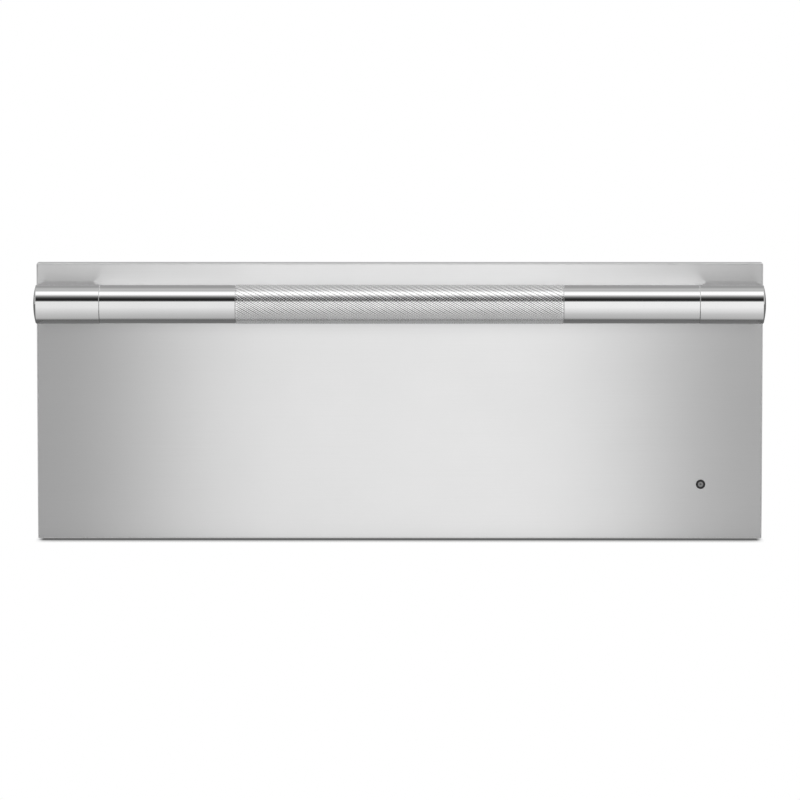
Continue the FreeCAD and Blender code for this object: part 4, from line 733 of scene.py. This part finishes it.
@dataclass(frozen=True)
class Fastener:
    """One screw as its solid gives it: where its head sits, which way it looks, and its four sizes."""

    seat: np.ndarray
    out: np.ndarray
    head_radius: float
    head_height: float
    shank_radius: float
    shank_length: float

    @classmethod
    def measured(cls, solid: np.ndarray, rim: float = 0.98, tip_share: float = 0.1) -> "Fastener":
        """Measure a screw that lies along X, Y or Z.

        A turned piece is as wide one way across its axis as the other, so the axis is the direction that the
        two most alike extents leave over. The corners furthest from the axis are the head's side.

        Args:
            solid: the screw's corners.
            rim: how far out the head's side starts, of the furthest corner's distance.
            tip_share: how much of the shank, from its tip, its radius is measured on.

        Returns:
            The measured screw.
        """
        low, high = solid.min(axis=0), solid.max(axis=0)
        extent = high - low
        axis = int(np.argmin([abs(extent[(k + 1) % 3] - extent[(k + 2) % 3]) for k in range(3)]))
        seat = (low + high) / 2
        away = np.hypot(*np.delete(solid - seat, axis, axis=1).T)
        head = solid[away > rim * away.max(), axis]
        outwards = head.mean() > seat[axis]
        sign = 1.0 if outwards else -1.0
        seat[axis] = head.min() if outwards else head.max()
        top, tip = (high[axis], low[axis]) if outwards else (low[axis], high[axis])
        length = abs(seat[axis] - tip)
        behind = away[sign * (solid[:, axis] - tip) < tip_share * length]
        return cls(seat, sign * np.eye(3)[axis], float(away.max()), abs(top - seat[axis]),
                   float(behind.max()), length)


@dataclass(frozen=True)
class CrossHeadScrews:
    """Pan-head screws with a cross recess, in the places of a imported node's plain ones."""

    sides: int = 24
    head: Sequence[Span] = ((0.0, 1.0), (0.5, 1.0), (0.78, 0.94), (0.94, 0.8))  # side and shoulder
    arm_reach: float = 0.56  # of the head's radius, from the middle to an arm's end
    arm_spread: float = math.radians(15.0)  # from an arm's middle to its edge, at its end
    recess_depth: float = 0.62  # of the head's height
    recess_taper: float = 0.55  # bottom of the recess, of its mouth
    turn: float = 2.4  # radians from one screw's cross to the next one's
    slot: str = "zinc_fastener"
    finish: Finish = PLATED

    def cross(self, angle: np.ndarray, least: float = 1e-6) -> np.ndarray:
        """Distance from the middle to a cross's outline, at an angle.

        Seen from the nearest arm, at an angle p, the outline lies reach / cos p away on the arm's end, and
        half the arm's width / sin p away on its side. The sine is held above the least one.
        """
        nearest = np.abs((angle + math.pi / 4) % (math.pi / 2) - math.pi / 4)
        half_width = self.arm_reach * math.tan(self.arm_spread)
        return np.minimum(self.arm_reach / np.cos(nearest), half_width / np.maximum(np.sin(nearest), least))

    def build(self, node: str, body: str) -> None:
        """Turn and recess every screw of a node, as one piece.

        A screw is a stack of rings round its axis, each a height and a radius: two of the shank, those of
        the head's side and shoulder, and two of the recess, with one corner to close either end.

        Args:
            node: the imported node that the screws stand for.
            body: the body that they ride on.
        """
        angle = np.arange(self.sides) * (2 * math.pi / self.sides)
        mouth = self.cross(angle)
        screws = [Fastener.measured(solid) for solid in solids_of(node)]
        points = []
        for number, screw in enumerate(screws):
            r, h = screw.head_radius, screw.head_height
            rings = [(-screw.shank_length, screw.shank_radius), (0.0, screw.shank_radius),
                     *((height * h, radius * r) for height, radius in self.head), (h, mouth * r),
                     ((1 - self.recess_depth) * h, mouth * r * self.recess_taper)]
            first = np.roll(screw.out, 1)
            turned = angle + number * self.turn
            spokes = np.outer(np.cos(turned), first) + np.outer(np.sin(turned), np.cross(screw.out, first))
            points += [screw.seat + height * screw.out + np.reshape(radius, (-1, 1)) * spokes
                       for height, radius in rings]
            points += [(screw.seat + height * screw.out)[None] for height, _ in (rings[0], rings[-1])]
        loops = np.arange((len(self.head) + 4) * self.sides).reshape(-1, self.sides)
        tip, bottom = loops.size, loops.size + 1
        starts = np.arange(len(screws))[:, None, None] * (bottom + 1)
        walls = np.concatenate([band(*pair) for pair in zip(loops, loops[1:])])
        faces = [(kind + starts).reshape(-1, kind.shape[1])
                 for kind in (walls, fan(loops[0], tip)[:, [1, 0, 2]], fan(loops[-1], bottom))]
        piece = shell(f"cross_head_{node}", np.concatenate(points), faces, self.finish)
        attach(piece, body)
        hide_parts(node)


# ---- sub-assemblies
Wardrobe = dict[Finish, Sequence[str]]


@dataclass
class Assembly:
    """A sub-assembly: the pieces that it adds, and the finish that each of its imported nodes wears.

    Attributes:
        screws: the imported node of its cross-recess screws and the body that they ride on, if it has any.
    """

    screws: tuple[str, str] | None = None

    def build(self) -> None:
        """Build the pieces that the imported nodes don't show."""
        if self.screws:
            CrossHeadScrews().build(*self.screws)

    def wardrobe(self) -> Wardrobe:
        """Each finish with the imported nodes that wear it."""
        raise NotImplementedError

    def dress(self) -> set[str]:
        """Put the finishes on.

        Returns:
            The nodes that were dressed.
        """
        dressed: set[str] = set()
        for finish, nodes in self.wardrobe().items():
            for node in nodes:
                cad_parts[node].material_slots[0].material = made(finish)
                LOG.info("%s: %s", node, finish.name)
            dressed.update(nodes)
        return dressed


@dataclass
class DrawerFront(Assembly):
    """Folded front with its inner panel, wool, seal, screws and status light."""

    screws: tuple[str, str] = ("front_screws", "drawer")
    skin_tone: float = 0.95
    skin_roughness: float = 0.303
    skin_anisotropy: float = 0.634

    def wardrobe(self) -> Wardrobe:
        """Brushed skin, zinc behind it, and the light's lens centred on its own node."""
        low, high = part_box("indicator_lens")
        skin = CrownedSteel("brushed_front_steel", tone=self.skin_tone, roughness=self.skin_roughness,
                            anisotropy=self.skin_anisotropy)
        lens = Lens("status_lens", centre=tuple((low + high) / 2), radius=(high.x - low.x) / 2)
        seal = Moulded("silicone_gasket", colour=(0.16, 0.155, 0.15), roughness=0.6, skin_scale=700.0,
                       wear=0.15, dust=0.05)
        return {skin: ["front_skin"], lens: ["indicator_lens"], seal: ["front_gasket"],
                GALVANISED: ["front_inner_panel"], PLATED: ["front_screws"], WOOL: ["front_insulation"],
                BLACK: ["indicator_bezel"]}


@dataclass
class Handle(Assembly):
    """Bar with its ends, tubes and knurled grip, on a core rod.

    The grip's diamonds are raised between two crossing sets of spiral grooves.

    Attributes:
        starts: grooves of each hand.
        pitch: from one crossing to the next along the bar.
        flat_share, strong_share: how far a flat top reaches towards a narrow and towards a wide groove.
        weak_mark: the groove attribute where only narrow grooves cross, so they get less painted shade; at the
            wide ones it is 1.
        margin: the plain rim at either end.
        bore_radius: of the grip's inside.
    """

    starts: int = 60
    pitch: float = 3.58 * MM
    groove_depth: float = 0.29 * MM
    flat_share: float = 0.8
    strong_share: float = 0.62
    weak_mark: float = 0.4
    margin: float = 0.12 * MM
    bore_radius: float = 17.5 * MM

    def build(self) -> None:
        """Cut the knurl into the grip's outside.

        The bar is unrolled to a lattice of half pitches: a counts along the bar, b round it. Where a + b is
        even two grooves cross, at the low radius; where it is odd a diamond has its middle, at the high radius.
        Seen from that middle, s = da + db and t = da - db run from -1 to 1 between the grooves, and the flat
        top is the rectangle |t| <= flat share, s between two such shares. Every second groove of one hand is
        wider.
        """
        low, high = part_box("knurled_grip")
        middle = (low + high) / 2
        crest = (high.z - low.z) / 2
        root = crest - self.groove_depth
        start = low.x + self.margin
        cut = high.x - low.x - 2 * self.margin
        rows = 2 * round(cut / self.pitch)
        turns = 2 * self.starts
        step = cut / rows

        def place(a: np.ndarray, b: np.ndarray, radius: float) -> np.ndarray:
            """Points of the lattice rolled round the bar at one radius."""
            angle = b * (math.pi / self.starts)
            return np.stack([start + a * step, middle.y - radius * np.cos(angle),
                             middle.z + radius * np.sin(angle)], axis=-1)

        a, b = np.meshgrid(np.arange(rows + 1), np.arange(turns), indexing="ij")
        crossing = (a + b) % 2 == 0
        first = int(crossing.sum())
        number = np.full(a.shape, -1)
        number[crossing] = np.arange(first)
        points = [place(a[crossing], b[crossing], root)]

        inner = ~crossing & (a > 0) & (a < rows)
        ca, cb = a[inner], b[inner]
        count = len(ca)
        around = [(1, 0), (0, 1), (-1, 0), (0, -1)]
        lows = np.stack([number[ca + da, (cb + db) % turns] for da, db in around], axis=1)
        tops = first + np.arange(4 * count).reshape(4, count).T
        wide_above = (ca + cb + 1) % 4 == 0
        reach_up = np.where(wide_above, self.strong_share, self.flat_share)
        reach_down = np.where(wide_above, self.flat_share, self.strong_share)
        faces = [tops]
        for side, (da, db) in enumerate(around):
            s = np.where(da + db > 0, reach_up, -reach_down)
            t = (da - db) * self.flat_share
            points.append(place(ca + (s + t) / 2, cb + (s - t) / 2, crest))
            pair = [side, (side + 1) % 4]
            faces.append(np.concatenate([lows[:, pair], tops[:, pair[::-1]]], axis=1))

        ring = np.arange(0, turns, 2)
        odd, even = ring + 1, (ring + 2) % turns
        faces.append(np.stack([number[0, ring], number[1, odd], number[0, even]], axis=1))
        faces.append(np.stack([number[rows, ring], number[rows, even], number[rows - 1, odd]], axis=1))
        base = first + 4 * count
        for end_x, radius in ((low.x, root), (low.x, self.bore_radius), (high.x, self.bore_radius),
                              (high.x, root)):
            rim = place(np.zeros(self.starts), ring, radius)
            rim[:, 0] = end_x
            points.append(rim)
        rims = base + np.arange(4 * self.starts).reshape(4, -1)
        loops = [number[0, ring], *rims, number[rows, ring]]
        faces += [band(*pair) for pair in zip(loops, loops[1:])]
        points = np.concatenate(points)
        grip = shell("knurled_bar_grip", points, faces, KNURLED)
        groove = np.zeros(len(points), np.float32)
        # groove attribute: full painted shade at wide crossings, the weak mark at narrow ones and at the rims,
        # none on the tops
        groove[:first] = np.where((a[crossing] + b[crossing]) % 4 == 0, 1.0, self.weak_mark)
        groove[base:] = self.weak_mark
        grip.data.attributes.new(GROOVE, "FLOAT", "POINT").data.foreach_set("value", groove)
        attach(grip, "drawer")
        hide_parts("knurled_grip")

    def wardrobe(self) -> Wardrobe:
        """Polished outside, plain steel and plastic within."""
        ends = [f"{side}_handle_{part}" for part in ("cap", "tube") for side in ("right", "left")]
        return {POLISHED: ends, KNURLED: ["knurled_grip"], PLATED: ["handle_core", "handle_screws"],
                GALVANISED: ["handle_backing_plates"], BLACK: ["handle_spacers"]}


@dataclass
class DrawerBox(Assembly):
    """Carriage, pan, rack and moisture vent."""

    screws: tuple[str, str] = ("member_screws", "drawer")
    rack_roughness: float = 0.16
    rolling_scale: Triple = (8.0, 700.0, 700.0)

    def wardrobe(self) -> Wardrobe:
        """Satin pan and vent, bright rack wires, zinc carriage."""
        pan = BrushedSteel("satin_pan_steel", tone=0.68, grain_scale=self.rolling_scale, contrast=0.05,
                           roughness=0.3, anisotropy=0.4)
        rack = PolishedSteel("bright_rack_wire", tone=0.74, roughness=self.rack_roughness)
        return {pan: ["drawer_pan", "vent_slider", "vent_guides"], rack: ["wire_rack"],
                GALVANISED: ["right_side_member", "left_side_member", "rear_cross_member"],
                PLATED: ["member_screws"]}


@dataclass
class Slides(Assembly):
    """Telescopic slides: three rails a side, and the cages that hold their balls."""

    drawn_scale: Triple = (900.0, 12.0, 900.0)

    def wardrobe(self) -> Wardrobe:
        """Plated rails drawn along their length, brighter cages."""
        rails = PlatedSteel("plated_slide_rails", tone=0.62, roughness=0.32, grain_scale=self.drawn_scale)
        cages = PlatedSteel("plated_ball_cages", tone=0.74, roughness=0.22)
        both = [f"{side}_{rail}_rail" for side in ("right", "left") for rail in ("outer", "mid", "inner")]
        return {rails: both, cages: ["outer_ball_cages", "inner_ball_cages"]}


@dataclass
class Casing(Assembly):
    """Cover, base, back, face frame, feet and the screws that hold them."""

    screws: tuple[str, str] = ("casing_screws", "casing")
    foot_grain: float = 0.03 * MM

    def wardrobe(self) -> Wardrobe:
        """Galvanised sheet round a coated frame, on rubber."""
        rubber = Moulded("foot_rubber_mix", colour=(0.018, 0.018, 0.018), roughness=0.75, skin_scale=1100.0,
                         skin_depth=self.foot_grain, wear=0.6)
        return {GALVANISED: ["casing_cover", "base_pan", "back_panel", "liner_supports"],
                CoatedSteel("coated_frame_steel"): ["face_frame"], rubber: ["feet"],
                PLATED: ["casing_screws"]}


@dataclass
class Cavity(Assembly):
    """Heated box: liner, wool, element and sensors."""

    brushed_scale: Triple = (700.0, 8.0, 700.0)

    def wardrobe(self) -> Wardrobe:
        """Satin liner, felted wool and a heat-stained element."""
        liner = BrushedSteel("cavity_steel_sheet", tone=0.62, grain_scale=self.brushed_scale, contrast=0.06,
                             roughness=0.36, anisotropy=0.4, turn=0.0)
        return {liner: ["cavity_liner", "element_rests"],
                WOOL: ["insulation_wrap", "insulation_back", "insulation_base"],
                OxidisedSheath("heated_element_sheath"): ["heating_element"],
                POLISHED: ["temperature_probe"], BLACK: ["thermal_cutout"]}


class Mode(Enum):
    """The five buttons, from the top down, by the body that each one is."""

    POWER = "button_power"
    LOW = "button_low"
    MEDIUM = "button_medium"
    HIGH = "button_high"
    PROOF = "button_proof"


@dataclass
class Controls(Assembly):
    """Fascia, buttons with their printed signs, and the board behind them."""

    lamp_showing: float = 3.0 * MM
    stroke: float = 0.9 * MM
    print_height: float = 0.06 * MM
    sunk: float = 0.05 * MM
    sign_reach: float = 3.4 * MM  # from a sign's middle to its edge
    bar_pitch: float = 2.4 * MM
    power_gap: float = math.radians(35.0)  # each side of the top, left open in the ring
    power_bar: Span = (0.25, 1.15)  # its ends above the middle, of the reach
    dome_drop: float = 0.45  # of the reach, from the middle down to the dome's foot
    loaf: float = 0.5  # of the dome's size
    plate_drop: float = 1.6  # of the dome's drop, down to the line below it
    ring_points: int = 28
    arch_points: int = 18

    def build(self) -> None:
        """Print a sign on every button: a ring with a bar, one to three bars, and a loaf under a dome."""
        for mode in Mode:
            self.sign(mode)

    def strokes(self, mode: Mode) -> list[np.ndarray]:
        """The lines that a sign is drawn with.

        Args:
            mode: whose sign it is.

        Returns:
            Each line's points, as x and z from the sign's middle.
        """
        reach = self.sign_reach
        across = np.array([[-1.0, 0.0], [1.0, 0.0]]) * reach
        if mode is Mode.POWER:
            angle = np.linspace(self.power_gap, 2 * math.pi - self.power_gap, self.ring_points)
            ring = np.stack([np.sin(angle), np.cos(angle)], axis=1) * reach
            return [ring, np.array([[0.0, end] for end in self.power_bar]) * reach]
        if mode is Mode.PROOF:
            angle = np.linspace(0.0, math.pi, self.arch_points)
            arch = np.stack([np.cos(angle), np.sin(angle)], axis=1) * reach
            foot = np.array([0.0, -self.dome_drop * reach])
            return [arch + foot, arch * self.loaf + foot, across + self.plate_drop * foot]
        bars = {Mode.LOW: 1, Mode.MEDIUM: 2, Mode.HIGH: 3}[mode]
        lifts = (np.arange(bars) - (bars - 1) / 2) * self.bar_pitch
        return [across + np.array([0.0, lift]) for lift in lifts]

    def sign(self, mode: Mode) -> None:
        """Print one sign on its button's face, to ride on the button.

        A stroke is a flat ribbon: at each point of its line, half a stroke's width to either side along the
        line's normal, once as high as the print stands and once just under the button's face.

        Args:
            mode: whose sign it is.
        """
        low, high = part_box(mode.value)
        middle_x, middle_z = (low.x + high.x) / 2, (low.z + high.z) / 2
        points: list[np.ndarray] = []
        faces: list[np.ndarray] = []
        for line in self.strokes(mode):
            along = np.gradient(line, axis=0)
            along /= np.linalg.norm(along, axis=1)[:, None]
            normal = np.stack([-along[:, 1], along[:, 0]], axis=1) * (self.stroke / 2)
            first, count = sum(map(len, points)), len(line)
            points += [np.stack([middle_x + edge[:, 0], np.full(count, level), middle_z + edge[:, 1]], axis=1)
                       for level in (low.y - self.print_height, low.y + self.sunk)
                       for edge in (line - normal, line + normal)]
            rails = first + np.arange(4 * count).reshape(4, count)[[0, 1, 3, 2]]
            faces += [band(*pair)[:-1] for pair in zip(rails, np.roll(rails, -1, axis=0))]
            faces.append(np.stack([rails[:, 0], rails[::-1, -1]]))
        sign = shell(f"{mode.value}_sign", np.concatenate(points), faces, PRINT)
        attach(sign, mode.value)

    def wardrobe(self) -> Wardrobe:
        """Black fascia, dark grey buttons, and a board whose sheet is its rearmost layer."""
        low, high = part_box("control_board")
        caps = Moulded("button_moulding", colour=(0.045, 0.046, 0.048), roughness=0.36, coat=0.2)
        board = CircuitBoard("control_board_mask", axis=1, rear=high.y, lamps_before=low.y + self.lamp_showing)
        return {BLACK: ["control_fascia"], caps: [mode.value for mode in Mode], board: ["control_board"]}


@dataclass
class Electrics(Assembly):
    """Power board on its bracket, terminals, gland and loom."""

    spacer_length: float = 5.0 * MM
    weave_scale: float = 1900.0

    def wardrobe(self) -> Wardrobe:
        """Solder mask, ceramic, black nylon and glass-fibre sleeve."""
        _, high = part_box("power_board")
        board = CircuitBoard("power_board_mask", axis=0, rear=high.x - self.spacer_length)
        ceramic = Moulded("terminal_steatite", colour=(0.78, 0.75, 0.68), roughness=0.3, skin_scale=600.0,
                          wear=0.1, coat=0.4)
        sleeve = Moulded("glass_fibre_sleeve", colour=(0.55, 0.5, 0.42), roughness=0.7,
                         skin_scale=self.weave_scale, skin_depth=0.05 * MM, wear=0.0, dust=0.0)
        return {board: ["power_board"], GALVANISED: ["power_bracket"], ceramic: ["terminal_block"],
                BLACK: ["cord_gland", "gland_nut"], sleeve: ["wiring_loom"]}


# ---- studio
@dataclass(frozen=True)
class Softbox:
    """A flat lamp that metal doesn't mirror, whose face has one radiance; 1 is white."""

    name: str
    centre: Triple
    size: Span
    turn: Triple
    radiance: float

    def build(self) -> None:
        """Hang the lamp."""
        data = bpy.data.lights.new(self.name, "AREA")
        data.shape = "RECTANGLE"
        data.size, data.size_y = self.size
        data.energy = self.radiance * math.pi * self.size[0] * self.size[1]
        lamp = added(self.name, data, self.centre, self.turn)
        lamp.visible_camera = False
        lamp.visible_glossy = False


@dataclass
class Studio:
    """Camera, floor, background and lamp.

    Attributes:
        contact_reach, contact_power, darkest: how far, how steeply and how dark the contact shadow is.
        shadow_edge: |x| where it starts to end, and where it has ended.
        fall_reach, floor_fall: how the mirrored floor darkens near the drawer.
        bar_shade, bar_shade_run: how dark it is under the bar, and y where that starts and is reached.
        near_to_far, near_share: ray lengths between which that darkening grows from its share to all of it.
        zone: levels by |x| that dim both sides ahead; they fade by |rise| over zone_rise and by y over
            zone_ahead.
        lean: levels at the left and right of lean_run that tip the front's light to one side.
        wings: the level of the room's sides, from one |x| to the other of wings_run.
        skies: levels that metal mirrors, by degrees about X: 0 in front of the drawer, 90 above, -90 below.
        echoes: the same for what is mirrored twice.
    """

    camera_place: Triple = (0.01837, -5.89955, 0.65468)
    camera_turn: Triple = (90.0 - 5.147, 0.0, 0.184)
    lens: float = 244.15
    sensor: float = 36.0
    sight: float = 200.0
    ambient: float = 0.62
    floor_half: float = 40.0
    floor_level: float = 0.8
    contact_reach: float = 0.024
    contact_power: float = 1.4
    darkest: float = 0.12
    shadow_edge: Span = (0.373, 0.381)
    fall_reach: float = 1.5
    floor_fall: float = 0.2
    bar_shade: float = 0.3
    bar_shade_run: Span = (-0.335, -0.27)
    near_to_far: Span = (0.12, 0.22)
    near_share: float = 0.3
    zone: Sequence[Span] = ((0.0, 1.0), (0.15, 1.0), (0.21, 0.1), (0.5, 0.1), (0.7, 1.0))
    zone_rise: Span = (math.radians(40.0), math.radians(58.0))
    zone_ahead: Span = (-0.1, 0.1)
    lean_run: Span = (-0.02, 0.02)
    lean: Span = (0.97, 1.06)
    wings_run: Span = (0.5, 0.8)
    wings: float = 0.6
    skies: Sequence[Span] = (
        (-180.0, 0.5), (-90.0, 0.56), (-60.0, 0.66), (-35.0, 0.83), (-15.0, 0.98), (17.5, 1.0), (22.0, 0.13),
        (27.0, 0.02), (34.0, 0.018), (42.0, 0.083), (49.0, 0.262), (55.0, 0.585), (62.0, 1.1), (69.0, 1.4),
        (77.0, 1.3), (84.0, 0.9), (93.0, 0.5), (102.0, 0.64), (123.0, 0.38), (142.0, 0.4), (180.0, 0.5))
    echoes: Sequence[Span] = (
        (-180.0, 0.2), (-15.0, 0.2), (0.0, 0.4), (17.0, 0.4), (25.0, 0.1), (45.0, 0.1), (55.0, 1.5),
        (140.0, 1.5), (180.0, 0.6))
    lamp: Softbox = Softbox("overhead", (0.0, -0.9, 2.2), (2.6, 1.8), (20.0, 0.0, 0.0), 0.9)

    def build(self) -> None:
        """Set up everything that isn't part of the object."""
        self.camera()
        self.floor()
        self.world()
        self.lamp.build()
        bpy.context.scene.view_settings.view_transform = "Standard"

    def camera(self) -> None:
        """Stand the camera in front of the drawer, a little above it."""
        data = bpy.data.cameras.new("camera")
        data.sensor_width = self.sensor
        data.lens = self.lens
        data.clip_end = self.sight
        bpy.context.scene.camera = added("camera", data, self.camera_place, self.camera_turn)

    def floor(self) -> None:
        """Lay a white floor that keeps the drawer's contact shadow."""
        half = self.floor_half
        mesh = bpy.data.meshes.new("floor")
        mesh.from_pydata([(-half, -half, 0.0), (half, -half, 0.0), (half, half, 0.0), (-half, half, 0.0)], [],
                         [(0, 1, 2, 3)])
        mesh.materials.append(self.floor_finish())
        floor = added("floor", mesh)

    def floor_finish(self) -> bpy.types.Material:
        """Make the floor's material.

        The camera sees white with the contact shadow. Metal sees the room through the floor, darker where
        the drawer and its bar shade it. Everything else gets a matt floor.
        """
        material = bpy.data.materials.new("floor_white")
        material.use_nodes = True
        nodes = material.node_tree.nodes
        nodes.remove(nodes["Principled BSDF"])
        graph = Graph(material.node_tree)
        near = graph.add("ShaderNodeAmbientOcclusion", {"Distance": self.contact_reach}, samples=12)
        wide = graph.add("ShaderNodeAmbientOcclusion", {"Distance": self.fall_reach}, samples=6)
        x, y, _ = graph.split(graph.add("ShaderNodeTexCoord").outputs["Object"])
        contact = graph.math("MAXIMUM", graph.math("POWER", near.outputs["AO"], self.contact_power),
                             self.darkest)
        aside = graph.spread(graph.math("ABSOLUTE", x), *self.shadow_edge, 0.0, 1.0)
        shadow = graph.between(aside, contact, 1.0)
        beneath = graph.spread(y, *self.bar_shade_run, 1.0, self.bar_shade)
        shaded = graph.times(graph.math("POWER", wide.outputs["AO"], self.floor_fall), beneath)
        path = graph.add("ShaderNodeLightPath").outputs
        distant = graph.spread(path["Ray Length"], *self.near_to_far, self.near_share, 1.0)
        shader = graph.add("ShaderNodeBsdfDiffuse", {"Color": grey(self.floor_level)}).outputs[0]
        dark = graph.add("ShaderNodeEmission", {"Strength": 0.0}).outputs[0]
        clear = graph.add("ShaderNodeBsdfTransparent").outputs[0]
        glow = graph.add("ShaderNodeEmission", {"Strength": shadow}).outputs[0]
        mirrored = graph.mixed(graph.between(distant, 1.0, shaded), dark, clear)
        for kind, seen in (("Is Glossy Ray", mirrored), ("Is Camera Ray", glow)):
            shader = graph.mixed(path[kind], shader, seen)
        graph.give(nodes["Material Output"].inputs["Surface"], shader)
        return material

    def world(self) -> None:
        """Light the room: white to the camera, plain to matt surfaces, and a studio's bands to metal."""
        world = bpy.data.worlds.new("studio")
        bpy.context.scene.world = world
        world.use_nodes = True
        graph = Graph(world.node_tree)
        x, y, z = graph.split(graph.add("ShaderNodeTexCoord").outputs["Generated"])
        rise = graph.math("ARCTAN2", z, graph.times(y, -1.0))
        around = graph.spread(rise, -math.pi, math.pi, 0.0, 1.0)
        bands, echo = (graph.ramp(around, [((angle + 180.0) / 360.0, grey(level)) for angle, level in levels])
                       for levels in (self.skies, self.echoes))
        outward = graph.math("ABSOLUTE", x)
        narrow = graph.ramp(outward, [(place, grey(level)) for place, level in self.zone])
        ahead = graph.spread(y, *self.zone_ahead, 1.0, 0.0)
        low = graph.spread(graph.math("ABSOLUTE", rise), *self.zone_rise, 1.0, 0.0)
        lean = graph.spread(x, *self.lean_run, *self.lean)
        gated = graph.blend(graph.times(ahead, low), bands,
                            graph.blend(1.0, bands, graph.shaded(narrow, lean), "MULTIPLY"))
        studio = graph.blend(graph.spread(outward, *self.wings_run, 0.0, 1.0), gated, grey(self.wings))
        path = graph.add("ShaderNodeLightPath").outputs
        mirrored = graph.math("MAXIMUM", path["Is Glossy Ray"], path["Is Transmission Ray"])
        twice = graph.math("GREATER_THAN", path["Glossy Depth"], 1.5)
        unseen = graph.blend(mirrored, grey(self.ambient), graph.blend(twice, studio, echo))
        background = world.node_tree.nodes["Background"].inputs
        graph.give(background["Color"], graph.blend(path["Is Camera Ray"], unseen, grey(1.0)))
        graph.give(background["Strength"], 1.0)


def main() -> None:
    """Build the studio, then build and dress each sub-assembly."""
    logging.basicConfig(level=logging.INFO)
    Studio().build()
    dressed: set[str] = set()
    for kind in (DrawerFront, Handle, DrawerBox, Slides, Casing, Cavity, Controls, Electrics):
        assembly = kind()
        assembly.build()
        dressed |= assembly.dress()
        LOG.info("%s is done", kind.__name__)
    bare = set(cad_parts) - dressed
    if bare:
        raise ValueError(f"no finish for {sorted(bare)}")


if __name__ == "__main__":
    main()
